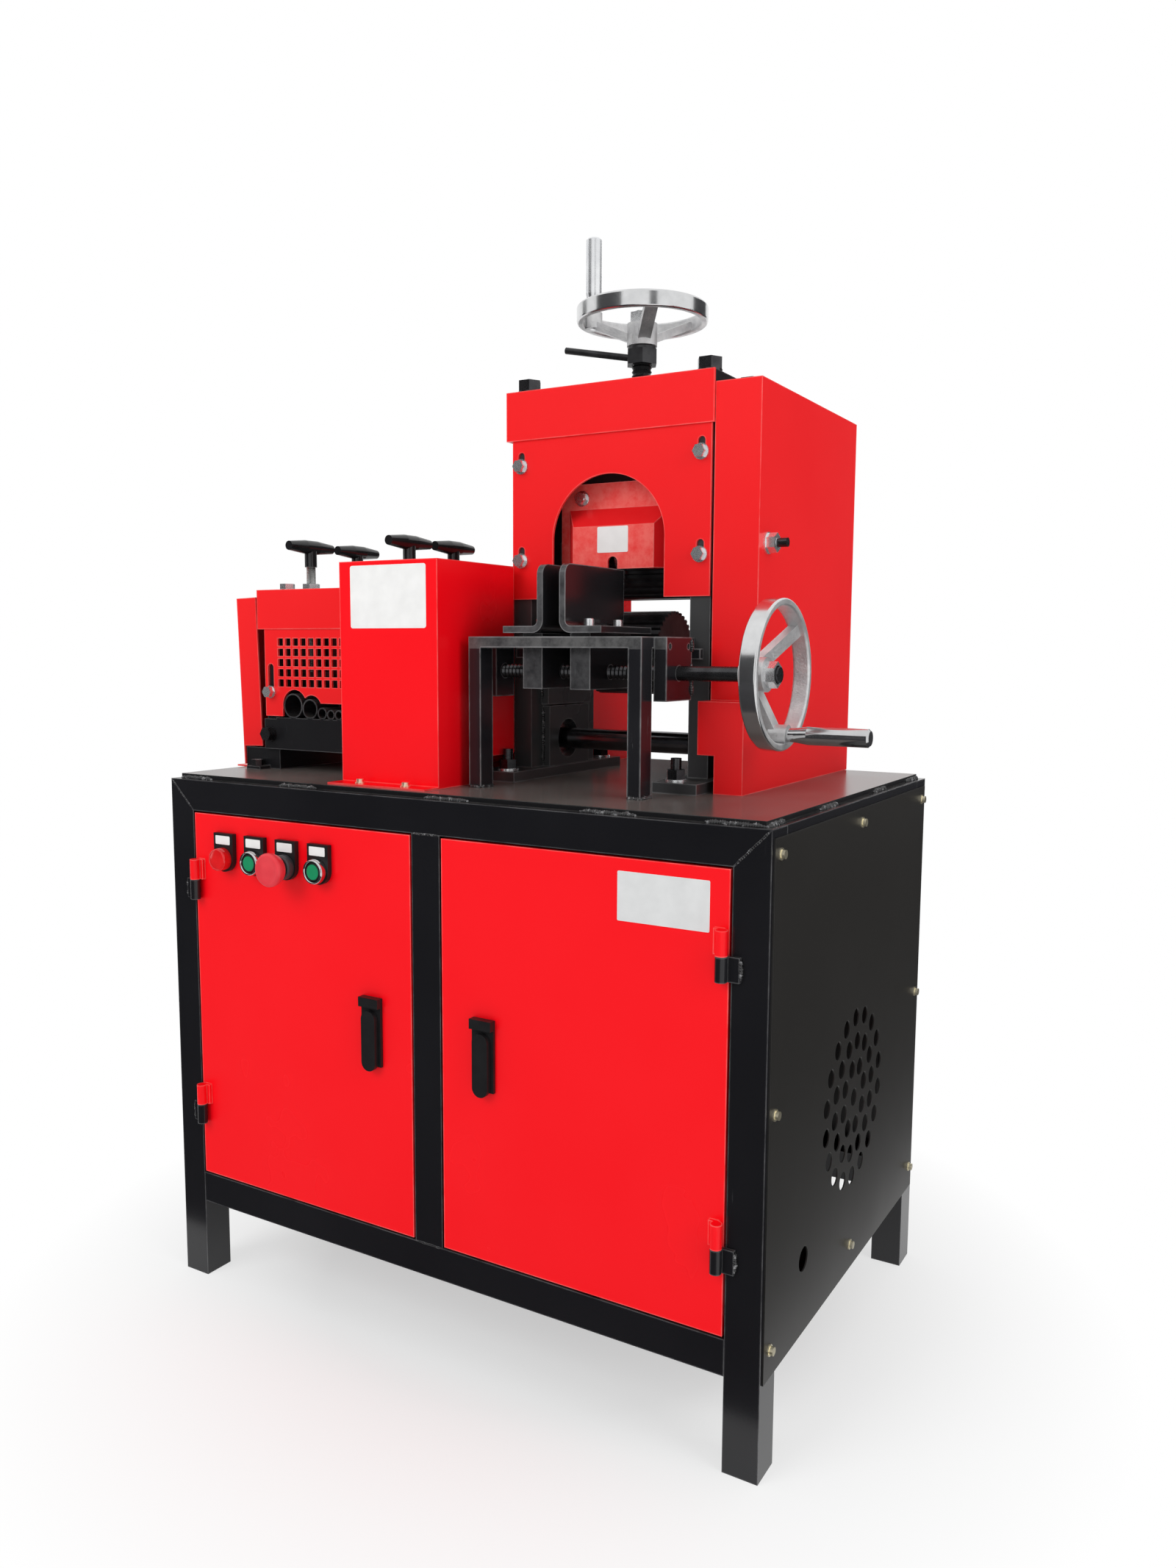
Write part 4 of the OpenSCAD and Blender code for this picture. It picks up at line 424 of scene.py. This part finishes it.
# %% Metals
def grained(tree, light, dark, smooth, spread, scale=900.0):
    """The metal grain group, placed with its own values."""
    return use(
        tree, metal_grain, Light=(*light, 1), Dark=(*dark, 1), Scale=scale, Smooth=smooth, Spread=spread
    )


def metal(name, light, dark, smooth, spread, scale=900.0, bump=0.15, metallic=1.0, **sockets):
    material, tree, shader = new_material(name, Metallic=metallic, **sockets)
    grain = grained(tree, light, dark, smooth, spread, scale)
    feed(tree, shader, Base_Color=grain["Colour"], Roughness=grain["Roughness"])
    relief(tree, shader, grain["Height"], bump, 0.0002)
    return material


plated_light, plated_dark = (0.86, 0.87, 0.88), (0.74, 0.75, 0.77)
zinc = metal("zinc", plated_light, plated_dark, 0.24, 0.10, bump=0.05)
yellow_zinc = metal("yellow_zinc", (0.96, 0.88, 0.64), (0.84, 0.78, 0.60), 0.30, 0.10, bump=0.05)
black_oxide = metal("black_oxide", (0.055, 0.055, 0.058), (0.025, 0.025, 0.027), 0.26, 0.16, metallic=0.6)
bright_steel = metal("bright_steel", (0.62, 0.62, 0.63), (0.45, 0.45, 0.46), 0.22, 0.15)
oiled_steel = metal("oiled_steel", (0.20, 0.20, 0.21), (0.14, 0.14, 0.15), 0.17, 0.06, bump=0.03)
dark_steel = metal("dark_steel", (0.16, 0.16, 0.17), (0.07, 0.07, 0.075), 0.32, 0.2, scale=500.0, bump=0.25)
chrome = metal("chrome", (0.62, 0.625, 0.63), (0.55, 0.555, 0.56), 0.10, 0.06, bump=0.03)
metals = (zinc, yellow_zinc, black_oxide, bright_steel, oiled_steel, dark_steel, chrome)
print("metals:", ", ".join(made.name for made in metals))


# %% Plastics
def plastic(name, colour, shade, gloss, metallic=0.0, **sockets):
    return metal(name, colour, shade, gloss, 0.08, scale=1400.0, bump=0.12, metallic=metallic, **sockets)


moulded_light, moulded_dark = (0.012, 0.012, 0.013), (0.008, 0.008, 0.009)
black_plastic = plastic("black_plastic", moulded_light, moulded_dark, 0.36, Specular_IOR_Level=0.4)
green_plastic = plastic("green_plastic", (0.004, 0.27, 0.11), (0.003, 0.24, 0.09), 0.28)
mushroom_red = plastic("mushroom_red", (0.78, 0.045, 0.06), (0.70, 0.03, 0.045), 0.34)
grey_plastic = plastic("grey_plastic", (0.05, 0.05, 0.055), (0.04, 0.04, 0.045), 0.4)
lens_red = plastic("lens_red", (0.74, 0.008, 0.010), (0.60, 0.005, 0.007), 0.14, Coat_Weight=0.3)
blank_white = plastic("blank_white", (0.86, 0.86, 0.85), (0.80, 0.80, 0.79), 0.35)
blank_silver = plastic("blank_silver", (0.84, 0.85, 0.85), (0.78, 0.79, 0.79), 0.32, metallic=0.2)
print("plastics and blank plates ready")

# %% [markdown]
# A handwheel is one casting with two surfaces: a mirror-polished outer rim, and silver cast spokes with the
# inside of the rim. The rim group tells them apart, and one material blends both.


# %% Handwheels
def handwheel_finish(name, centre, across):
    """Finish of a wheel round a centre; across has a one for each axis in the wheel's plane."""
    material, tree, shader = new_material(name, Metallic=1.0)
    polished = use(tree, wheel_rim, Centre=centre, Across=across)["Polished"]
    cast = grained(tree, (0.84, 0.84, 0.84), (0.62, 0.62, 0.63), 0.42, 0.2, scale=420.0)
    bright = grained(tree, (0.72, 0.725, 0.73), (0.62, 0.625, 0.63), 0.13, 0.08, scale=1500.0)
    colour = blend(tree, polished, cast["Colour"], bright["Colour"])
    rough = between(tree, polished, cast["Roughness"], bright["Roughness"])
    feed(tree, shader, Base_Color=colour, Roughness=rough)
    depth = times(tree, cast["Height"], maths(tree, "SUBTRACT", 1.0, polished))
    relief(tree, shader, depth, 0.6, 0.0008)
    return material


top_wheel_centre = spot(507.5, 286, 1191)
guide_wheel_centre = spot(735.5, 140, 781.5)
top_wheel_finish = handwheel_finish("top_wheel_finish", top_wheel_centre, (1, 1, 0))
guide_wheel_finish = handwheel_finish("guide_wheel_finish", guide_wheel_centre, (0, 1, 1))
print("two handwheel finishes")

# %% [markdown]
# The guide's screw is blackened, but the nut on its end is plated, and they are one node. So one material has
# both metals and changes with the distance from the axis: past the thread it can only be the nut. The stud in
# the tower is the other way round, a blackened end that stands out of a plated nut. The lifting screw is
# plated only above its handwheel, and of the black bolts only the washers on the feet are.


# %% Two metals in one node
def two_metals(name, plated_where):
    """Blackened steel, plated where the mask that plated_where(tree, place) makes is one."""
    material, tree, shader = new_material(name, Metallic=0.9)
    plate = plated_where(tree, place_of(tree))
    dark = grained(tree, (0.080, 0.080, 0.084), (0.040, 0.040, 0.043), 0.26, 0.16)
    plated = grained(tree, plated_light, plated_dark, 0.22, 0.08)
    colour = blend(tree, plate, dark["Colour"], plated["Colour"])
    feed(tree, shader, Base_Color=colour, Roughness=plated["Roughness"])
    relief(tree, shader, plated["Height"], 0.05, 0.0002)
    return material


thread_r = 9.5
stud_nut_x = 708.2
top_hub_z = 1188.0
foot_washer_low, foot_washer_high = 661.8, 664.6


def outside_thread(tree, place):
    from_axis = vector_maths(tree, "SUBTRACT", place, guide_wheel_centre)
    outward = vector_maths(tree, "MULTIPLY", from_axis, (0, 1, 1))
    return ramp(tree, vector_maths(tree, "LENGTH", outward), thread_r / 1000, (thread_r + 0.4) / 1000)


def short_of_stud(tree, place):
    end = spot(stud_nut_x, 0, 0).x
    return ramp(tree, share(tree, place, "X"), end, end + 0.0002, 1.0, 0.0)


def above_wheel(tree, place):
    return ramp(tree, share(tree, place, "Z"), top_hub_z / 1000, (top_hub_z + 0.4) / 1000)


def foot_washers(tree, place):
    height = share(tree, place, "Z")
    over = ramp(tree, height, (foot_washer_low - 0.1) / 1000, (foot_washer_low + 0.1) / 1000)
    under = ramp(tree, height, (foot_washer_high - 0.1) / 1000, (foot_washer_high + 0.1) / 1000, 1.0, 0.0)
    return times(tree, over, under)


guide_screw_finish = two_metals("guide_screw_finish", outside_thread)
lift_screw_finish = two_metals("lift_screw_finish", above_wheel)
bolts_and_stud = two_metals("bolts_and_stud", short_of_stud)
black_bolt_finish = two_metals("black_bolt_finish", foot_washers)
print("guide screw: plated outside", thread_r, "mm; tower stud: blackened past its nut")

# %% [markdown]
# A tee screw is one solid too: a moulded grip on a plated thread. Its material changes at the grip's neck,
# and below it a sine of the height draws the turns of the thread.

# %% Tee screws
grip_neck_z = 912.5
thread_pitch = 2
tee_screw, tree, shader = new_material("tee_grip_and_thread")
height = share(tree, place_of(tree), "Z")
grip = ramp(tree, height, grip_neck_z / 1000, (grip_neck_z + 1) / 1000)
bare = maths(tree, "SUBTRACT", 1.0, grip)
plated = grained(tree, (0.62, 0.62, 0.60), (0.45, 0.45, 0.44), 0.25, 0.15)
moulded = grained(tree, moulded_light, moulded_dark, 0.16, 0.08, scale=1400.0)
colour = blend(tree, grip, plated["Colour"], moulded["Colour"])
rough = between(tree, grip, plated["Roughness"], moulded["Roughness"])
feed(tree, shader, Base_Color=colour, Roughness=rough, Metallic=bare)
angle = times(tree, height, 2 * math.pi / (thread_pitch / 1000))
turns = add(tree, "Math", {0: angle}, operation="SINE").outputs[0]
relief(tree, shader, times(tree, turns, bare), 0.8, 0.0008)
print("tee screws: grip above", grip_neck_z, "mm, thread below")

# %% [markdown]
# ## Dressing the solids
# Each CAD node keeps its shape and gets its finish. Real sheet and plate has no knife edges, so a bevel
# modifier breaks every sharp edge by a fraction of its thickness, which is what catches the light.

# %% Finishes of the solids
finishes = {
    red_enamel: "top_cap front_plate tower_cover unit_cap unit_grille side_cover",
    door_red: "left_door right_door guard_box",
    inner_red: "inner_guard",
    black_enamel: "frame_legs frame_rails hinge_pins",
    head_enamel: "crosshead unit_plates unit_top_plate carriage feed_rack",
    lit_plate_enamel: "head_plates",
    jaw_enamel: "left_jaw right_jaw",
    stand_enamel: "guide_stand",
    table_enamel: "table_top",
    panel_enamel: "panels",
    motor_enamel: "gear_motor",
    box_grey: "switch_box",
    yellow_zinc: "panel_screws",
    bolts_and_stud: "zinc_bolts",
    bright_steel: "bearings blade",
    black_oxide: "lock_nut press_roller feed_roller",
    black_bolt_finish: "black_bolts",
    oiled_steel: "drive_line front_roller",
    lift_screw_finish: "lift_screw",
    guide_screw_finish: "guide_screw",
    dark_steel: "output_wheel chains front_press rear_press",
    chrome: "guide_grip",
    zinc: "top_grip collars",
    black_plastic: "left_lock right_lock left_lever right_lever legend_holders",
    tee_screw: "tee_front_left tee_front_right tee_rear_left tee_rear_right",
    top_wheel_finish: "top_wheel",
    guide_wheel_finish: "guide_wheel",
    lens_red: "pilot_lamp",
    green_plastic: "start_button reverse_button",
    mushroom_red: "e_stop",
}
for finish, names in finishes.items():
    for name in names.split():
        nodes[name].data.materials.clear()
        nodes[name].data.materials.append(finish)
print(sum(len(names.split()) for names in finishes.values()), "nodes have a finish")

# %% Broken edges
edge_widths = {
    1.6: "frame_legs frame_rails guide_stand head_plates crosshead unit_plates unit_top_plate carriage",
    1.2: "left_jaw right_jaw left_lock right_lock left_lever right_lever table_top lock_nut black_bolts",
    0.9: "top_cap front_plate tower_cover unit_cap side_cover guard_box left_door right_door "
    "inner_guard hinge_pins",
    0.5: "legend_holders zinc_bolts panel_screws panels unit_grille switch_box gear_motor feed_rack",
}
for width, names in edge_widths.items():
    for name in names.split():
        bevel = nodes[name].modifiers.new("broken edges", "BEVEL")
        bevel.width = width / 1000
        bevel.segments = 2
        bevel.limit_method = "ANGLE"
        bevel.angle_limit = math.radians(40)
        bevel.use_clamp_overlap = True
        bevel.harden_normals = False
        nodes[name].modifiers.new("flat faces", "WEIGHTED_NORMAL").keep_sharp = True
print(sum(len(names.split()) for names in edge_widths.values()), "nodes have broken edges")

# %% [markdown]
# ## Control row
# Lamp, buttons and mushroom stop are turned parts. Each is drawn as half a section, radius against reach in
# front of the door, and spun round its axis. Where the section turns sharply the ring of edges is marked
# sharp, so the rest can be shaded smooth. The new pieces stand in for the plainer CAD ones.


# %% Meshes from rings
def make_piece(name, shape, body, *finishes):
    """A mesh piece from a bmesh, which then rides on a body of the frame."""
    mesh = bpy.data.meshes.new(name)
    bmesh.ops.recalc_face_normals(shape, faces=shape.faces[:])
    shape.to_mesh(mesh)
    shape.free()
    for finish in finishes:
        mesh.materials.append(finish)
    piece = bpy.data.objects.new(name, mesh)
    scene.collection.objects.link(piece)
    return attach(piece, body)


def around(count):
    """Angles of as many points round a circle."""
    return [2 * math.pi * i / count for i in range(count)]


def skin(shape, low, high):
    """The faces between two rings of points."""
    faces = []
    for i in range(len(low)):
        j = (i + 1) % len(low)
        faces.append(shape.faces.new((low[i], low[j], high[j], high[i])))
    return faces


def skin_and_caps(shape, rings):
    """Faces along a row of rings, with its two ends closed; gives the faces along it."""
    faces = [face for low, high in zip(rings, rings[1:]) for face in skin(shape, low, high)]
    shape.faces.new(rings[-1])
    shape.faces.new(rings[0])
    return faces


print("mesh helpers ready")


# %% Turned pieces
def turned(name, body, x, z, section, *bands, steps=56, closed=False):
    """A piece spun round an axis out of the doors; bands are (finish, first section point that has it)."""
    shape = bmesh.new()
    rings = []
    for radius, reach in section:
        circle = [spot(x + radius * math.cos(a), -reach, z + radius * math.sin(a)) for a in around(steps)]
        rings.append([shape.verts.new(point) for point in circle])
    pairs = list(zip(rings, rings[1:])) + ([(rings[-1], rings[0])] if closed else [])
    for k, (low, high) in enumerate(pairs):
        for face in skin(shape, low, high):
            face.smooth = True
            face.material_index = max(n for n, band in enumerate(bands) if band[1] <= k)
    count = len(section)
    for k in range(count if closed else count - 2):
        a, b, c = (Vector(section[(k + i) % count]) for i in range(3))
        if (b - a).angle(c - b) > math.radians(38):
            ring = rings[(k + 1) % count]
            for i in range(steps):
                shape.edges.get((ring[i], ring[(i + 1) % steps])).smooth = False
    return make_piece(name, shape, body, *(band[0] for band in bands))


control_z = 551.5
control_x = (95, 146, 197, 248)
lamp_x, start_x, stop_x, reverse_x = control_x
stem = [(0.05, -15.4), (10.9, -15.4)]
bezel = [
    (11.3, 6.1), (14.4, 6.1), (14.75, 6.6), (14.75, 13.4), (14.3, 15.0),
    (13.2, 15.9), (12.2, 15.9), (11.5, 15.2), (11.3, 14.0),
]
cap = stem + [
    (10.9, 13.6), (10.6, 14.5), (9.9, 14.9), (9.3, 14.8), (9.1, 14.2),
    (8.8, 14.7), (8.0, 14.9), (4.0, 14.6), (0.05, 14.5),
]
mushroom = stem + [
    (10.9, 21.8), (15.8, 21.8), (17.2, 22.6), (19.4, 28.0), (20.0, 31.0), (19.7, 33.4),
    (18.4, 35.2), (16.4, 35.9), (15.2, 35.7), (14.4, 35.4), (8.0, 35.8), (0.05, 36.0),
]
lens_section = stem + [
    (10.9, 6.1), (13.6, 6.1), (13.75, 6.5), (13.75, 15.2), (13.3, 16.8), (12.4, 17.6),
    (11.6, 17.8), (11.1, 17.3), (10.6, 17.5), (6.0, 17.9), (0.05, 18.0),
]
print("sections of bezel, cap, mushroom and lens")

# %% Lamp, buttons and stop
for name, x in (("start", start_x), ("reverse", reverse_x)):
    turned(f"{name}_bezel", "left_door", x, control_z, bezel, (chrome, 0), closed=True)
    bands = ((black_plastic, 0), (green_plastic, 6))
    button = turned(f"{name}_cap", f"{name}_button", x, control_z, cap, *bands)
    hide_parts(f"{name}_button")
stop = turned("stop_mushroom", "e_stop", stop_x, control_z, mushroom, (grey_plastic, 0), (mushroom_red, 2))
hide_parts("e_stop")
collar = turned("stop_collar", "left_door", stop_x, control_z, bezel, (grey_plastic, 0), closed=True)
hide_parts("collars")
bands = ((grey_plastic, 0), (lens_red, 2))
lamp_lens = turned("lamp_lens", "left_door", lamp_x, control_z, lens_section, *bands)
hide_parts("pilot_lamp")
print("control row: lamp, two buttons with bezels, mushroom stop with collar")

# %% [markdown]
# ## Bare plates
# The holders over the controls carry white slips, and the right door and the two guards a bare plate each.
# A plate is thin, with round corners, so its outline is four arcs. It is seated on its face, and its top
# layer is drawn in a little, which softens the rim.


# %% Bare plates
def slip(name, body, x0, x1, z0, z1, face, thick, corner, finish):
    """A thin plate with round corners on a face that looks to the front."""
    shape = bmesh.new()
    left, right, low, high = x0 + corner, x1 - corner, z0 + corner, z1 - corner
    outline = []
    for x, z, start in ((right, high, 0), (left, high, 90), (left, low, 180), (right, low, 270)):
        for i in range(7):
            a = math.radians(start + 15 * i)
            outline.append((x + corner * math.cos(a), z + corner * math.sin(a)))
    mid_x, mid_z = (x0 + x1) / 2, (z0 + z1) / 2
    layers = []
    for inset, y in ((0, face - 0.02), (0, face - thick * 0.7), (thick * 0.4, face - thick)):
        fit_x, fit_z = 1 - 2 * inset / (x1 - x0), 1 - 2 * inset / (z1 - z0)
        drawn = [spot(mid_x + (x - mid_x) * fit_x, y, mid_z + (z - mid_z) * fit_z) for x, z in outline]
        layers.append([shape.verts.new(point) for point in drawn])
    skin_and_caps(shape, layers)
    return make_piece(name, shape, body, finish)


holder_face, door_face, guard_face, inner_face = -6, 0, 44, 218
for i, x in enumerate(control_x):
    edges = (x - 12.5, x + 11.5, 569, 579.5)
    slip(f"legend_slip_{i + 1}", "left_door", *edges, holder_face, 0.5, 1.2, blank_white)
slip("data_plate", "right_door", 639, 739, 540.5, 590.5, door_face, 0.6, 1.5, blank_silver)
slip("guard_sticker", "cabinet", 260, 369.5, 829, 900, guard_face, 0.3, 3, blank_white)
slip("inner_sticker", "carriage", 487, 528, 919, 949, inner_face, 0.3, 1.5, blank_white)
print("bare plates:", len(control_x), "slips and three larger ones")

# %% [markdown]
# ## Bright screws
# The jaws are held by plated socket screws, and a zinc bolt sits in the red guard behind the arch. A socket
# screw is a cylinder with a broken rim and a six-sided pocket; the bolt is a washer under a hexagon.


# %% Bright screws
def stack(name, body, base, along, levels, finish, sides=48):
    """Rings of points stacked along a direction; levels are (flats or none, radius, height)."""
    along = Vector(along)
    across = along.orthogonal().normalized()
    beside = along.cross(across)
    shape = bmesh.new()
    rings = []
    for flats, radius, height in levels:
        ring = []
        for a in around(sides):
            r = radius
            if flats:
                wedge = 2 * math.pi / flats
                r = radius * math.cos(wedge / 2) / math.cos((a % wedge) - wedge / 2)
            outward = across * math.cos(a) + beside * math.sin(a)
            ring.append(shape.verts.new(base + outward * (r / 1000) + along * (height / 1000)))
        rings.append(ring)
    skin_and_caps(shape, rings)
    return make_piece(name, shape, body, finish)


jaw_top_z = 831.5
socket_screw = [
    (0, 5.75, 0.1), (0, 5.75, 7.6), (0, 5.3, 8.2), (0, 3.6, 8.2),
    (6, 3.3, 8.15), (6, 3.3, 5.2), (6, 3.0, 5.0),
]
hex_bolt = [
    (0, 9.0, 0.05), (0, 9.0, 1.7), (0, 8.6, 2.0), (6, 7.5, 2.0),
    (6, 7.5, 8.0), (0, 6.2, 8.9), (0, 6.0, 8.9),
]
for name, x in (("left_jaw", 477), ("right_jaw", 538)):
    for i, y in enumerate((113, 178)):
        stack(f"{name}_screw_{i + 1}", name, spot(x, y, jaw_top_z), (0, 0, 1), socket_screw, zinc)
stack("inner_guard_bolt", "carriage", spot(455.8, 237, 985), (0, -1, 0), hex_bolt, zinc)
print("four socket screws and a bolt")

# %% [markdown]
# ## Weld beads
# The table plate is stitched to the frame, and the mitres, bearing pads, stand and hinges carry beads too.
# A bead is a tube laid along a seam whose thickness swells and shrinks with each drop of weld metal. It is
# sunk half into the corner, so only its rounded back shows, under black enamel with bright specks, which are
# painted glints with a little bare metal.


# %% Weld bead
def weld(name, points, size, pitch=2.6, sides=8):
    """A rippled bead along straight seams between points."""
    shape = bmesh.new()
    for a, b in zip(points, points[1:]):
        a, b = Vector(a), Vector(b)
        seam = b - a
        across = seam.normalized().orthogonal().normalized()
        beside = seam.normalized().cross(across)
        count = max(4, round(seam.length / (pitch / 4)))
        rings = []
        for k in range(count + 1):
            part = k / count
            wave = math.sin(2 * math.pi * part * seam.length / pitch)
            drift = math.sin(0.37 * k + 1.7 * len(points) + a.x) * 0.12
            taper = min(1, 6 * part + 0.35, 6 * (1 - part) + 0.35)
            radius = size * (1 + 0.16 * wave + drift) * taper
            centre = a + seam * part + across * (0.1 * size * math.sin(0.21 * k + a.y))
            circle = [centre + (across * math.cos(q) + beside * math.sin(q)) * radius for q in around(sides)]
            rings.append([shape.verts.new(spot(*point)) for point in circle])
        for face in skin_and_caps(shape, rings):
            face.smooth = True
    return make_piece(name, shape, "cabinet", weld_black)


print("weld bead function ready")

# %% Cabinet's beads
seam_z = 644.5
left_seam, right_seam, front_seam, back_seam = 9, 791, 9, 514
table_bead, fine_bead, hinge_bead = 3.4, 1.5, 2.6
for i, (a, b) in enumerate(((9, 64), (176, 236), (392, 452), (590, 655), (728, 791))):
    weld(f"table_weld_front_{i + 1}", [(a, front_seam, seam_z), (b, front_seam, seam_z)], table_bead)
for i, (a, b) in enumerate(((9, 52), (150, 205), (330, 380), (465, 514))):
    weld(f"table_weld_right_{i + 1}", [(right_seam, a, seam_z), (right_seam, b, seam_z)], table_bead)
    weld(f"table_weld_left_{i + 1}", [(left_seam, a, seam_z), (left_seam, b, seam_z)], table_bead)
for i, (a, b) in enumerate(((40, 110), (300, 380), (560, 640), (720, 780))):
    weld(f"table_weld_back_{i + 1}", [(a, back_seam, seam_z), (b, back_seam, seam_z)], table_bead)
weld("mitre_weld_left", [(1.5, 0.6, 642.5), (37, 0.6, 607)], fine_bead)
weld("mitre_weld_right", [(798.5, 0.6, 642.5), (763, 0.6, 607)], fine_bead)
weld("post_weld_top", [(382, 0.7, 606), (418, 0.7, 606)], fine_bead)
weld("post_weld_low", [(382, 0.7, 138.6), (418, 0.7, 138.6)], fine_bead)

# %% Beads of stand, pads and hinges
foot_z = 650.5
stand_front, stand_back, stand_leg = 82, 106, 16
pad_bead = 2.8
for name, x in (("left", 399.5), ("right", 603.5)):
    inner_x = x + stand_leg
    corner = [(x, stand_front, foot_z), (inner_x, stand_front, foot_z), (inner_x, stand_back, foot_z)]
    weld(f"stand_foot_weld_{name}", corner, pad_bead)
weld("stand_plate_weld", [(634.5, 170, 756), (634.5, 170, 792)], 2.6)
weld("stand_plate_weld_top", [(634.5, 170, 804), (634.5, 170, 818)], 2.4)
for name, x in (("left", 401.5), ("right", 613.5)):
    weld(f"drive_pad_weld_{name}", [(x, 234, 664), (x, 234, 735)], pad_bead)
    weld(f"feed_pad_weld_{name}", [(x, 231, 741), (x, 231, 840)], pad_bead)
for i, z in enumerate((233.6, 521.6)):
    for name, x in (("left", 28), ("right", 772)):
        weld(f"hinge_weld_{name}_{i + 1}", [(x, -1.5, z - 23), (x, -1.5, z - 3)], hinge_bead)

# %% [markdown]
# ## Floor and light
# A plain white floor runs out of sight. Close to the machine it takes its shadow; further away it fades to
# plain white, so that no horizon shows. Two large lamps and an even sky give the soft light of a studio. The
# sky is dimmer as a light than it looks, so that the shadow under the cabinet stays.

# %% Floor
half = 40
fade_from, white_from = 0.30, 0.70
corners = [(-half, -half, 0), (half, -half, 0), (half, half, 0), (-half, half, 0)]
mesh = bpy.data.meshes.new("floor")
mesh.from_pydata(corners, [], [(0, 1, 2, 3)])
floor = bpy.data.objects.new("floor", mesh)
scene.collection.objects.link(floor)
material, tree, shader = new_material(
    "pale_floor", Base_Color=(0.90, 0.90, 0.90, 1), Roughness=0.9, Specular_IOR_Level=0.0
)
distance = vector_maths(tree, "LENGTH", place_of(tree))
glow = add(tree, "Emission", {"Color": (1, 1, 1, 1), "Strength": 1.0}).outputs[0]
far = ramp(tree, distance, fade_from, white_from, 0.5, 1.0)
fade = add(tree, "MixShader", {0: far, 1: shader.outputs[0], 2: glow}).outputs[0]
feed(tree, tree.nodes["Material Output"], Surface=fade)
mesh.materials.append(material)
print("floor", 2 * half, "m wide")

# %% Light
sky_as_light, sky_as_seen = 0.5, 1.0
aim = Vector((0, 0, 0.7))
world = bpy.data.worlds.new("studio")
scene.world = world
world.use_nodes = True
tree = world.node_tree
rays = add(tree, "LightPath").outputs
mirrored = maths(tree, "MAXIMUM", rays["Is Glossy Ray"], rays["Is Transmission Ray"])
seen = maths(tree, "MAXIMUM", rays["Is Camera Ray"], mirrored)
sky = tree.nodes["Background"]
sky.inputs["Color"].default_value = (1, 1, 1, 1)
feed(tree, sky, Strength=ramp(tree, seen, 0, 1, sky_as_light, sky_as_seen))
for name, where, size, watts in (("key", (-1.3, -3.2, 2.6), 2.2, 62), ("fill", (3.2, -0.6, 2.0), 2.0, 40)):
    data = bpy.data.lights.new(name, "AREA")
    data.size = size
    data.energy = watts
    lamp = bpy.data.objects.new(name, data)
    scene.collection.objects.link(lamp)
    lamp.visible_glossy = False
    lamp.location = where
    lamp.rotation_euler = (aim - Vector(where)).to_track_quat("-Z", "Y").to_euler()

# %% [markdown]
# In an all-white room polished metal turns white and gloss black turns grey. A photographer stands dark cards
# round the object, which show only as reflections. These are seen by mirror-like rays alone, so they take no
# light away and throw no shadow.

# %% Dark cards
card_black, tree, shader = new_material("card_black", Roughness=0.9, Specular_IOR_Level=0.0)
mottled = blend(tree, noise(tree, place_of(tree), 1.5), (0.02, 0.02, 0.022, 1), (0.08, 0.08, 0.085, 1))
feed(tree, shader, Base_Color=mottled)


def dark_card(name, corners):
    """A flat card that only mirror-like rays see."""
    mesh = bpy.data.meshes.new(name)
    mesh.from_pydata(corners, [], [(0, 1, 2, 3)])
    mesh.materials.append(card_black)
    card = bpy.data.objects.new(name, mesh)
    scene.collection.objects.link(card)
    card.visible_camera = card.visible_diffuse = card.visible_shadow = False
    card.visible_transmission = card.visible_volume_scatter = False


def upright_card(name, turn, away, width, low, high):
    """A card that stands facing the machine; turn is counted in degrees from the right, away in metres."""
    across = Vector((-math.sin(math.radians(turn)), math.cos(math.radians(turn)), 0)) * (width / 2)
    middle = Vector((math.cos(math.radians(turn)), math.sin(math.radians(turn)), 0)) * away
    ends = [middle - across, middle + across]
    dark_card(name, [(*ends[i].xy, z) for i, z in ((0, low), (1, low), (1, high), (0, high))])


def floor_card(name, x0, y0, x1, y1, lift=0.004):
    """A card that lies just over the floor."""
    dark_card(name, [(x0, y0, lift), (x1, y0, lift), (x1, y1, lift), (x0, y1, lift)])


upright_card("card_front_left", 238, 3.4, 3.2, 0.0, 2.6)
upright_card("card_right_back", 58, 3.4, 2.8, 0.0, 2.4)
upright_card("card_front_right", 318, 3.6, 0.8, 0.3, 2.4)
upright_card("card_left", 178, 3.4, 0.9, 0.0, 2.2)
upright_card("card_back", 112, 3.4, 0.6, 0.3, 2.4)
floor_card("card_floor_front", -4.0, -4.5, 0.6, -0.33)
floor_card("card_floor_right", 0.47, -0.2, 3.0, 4.5)
print("five upright cards and two on the floor")
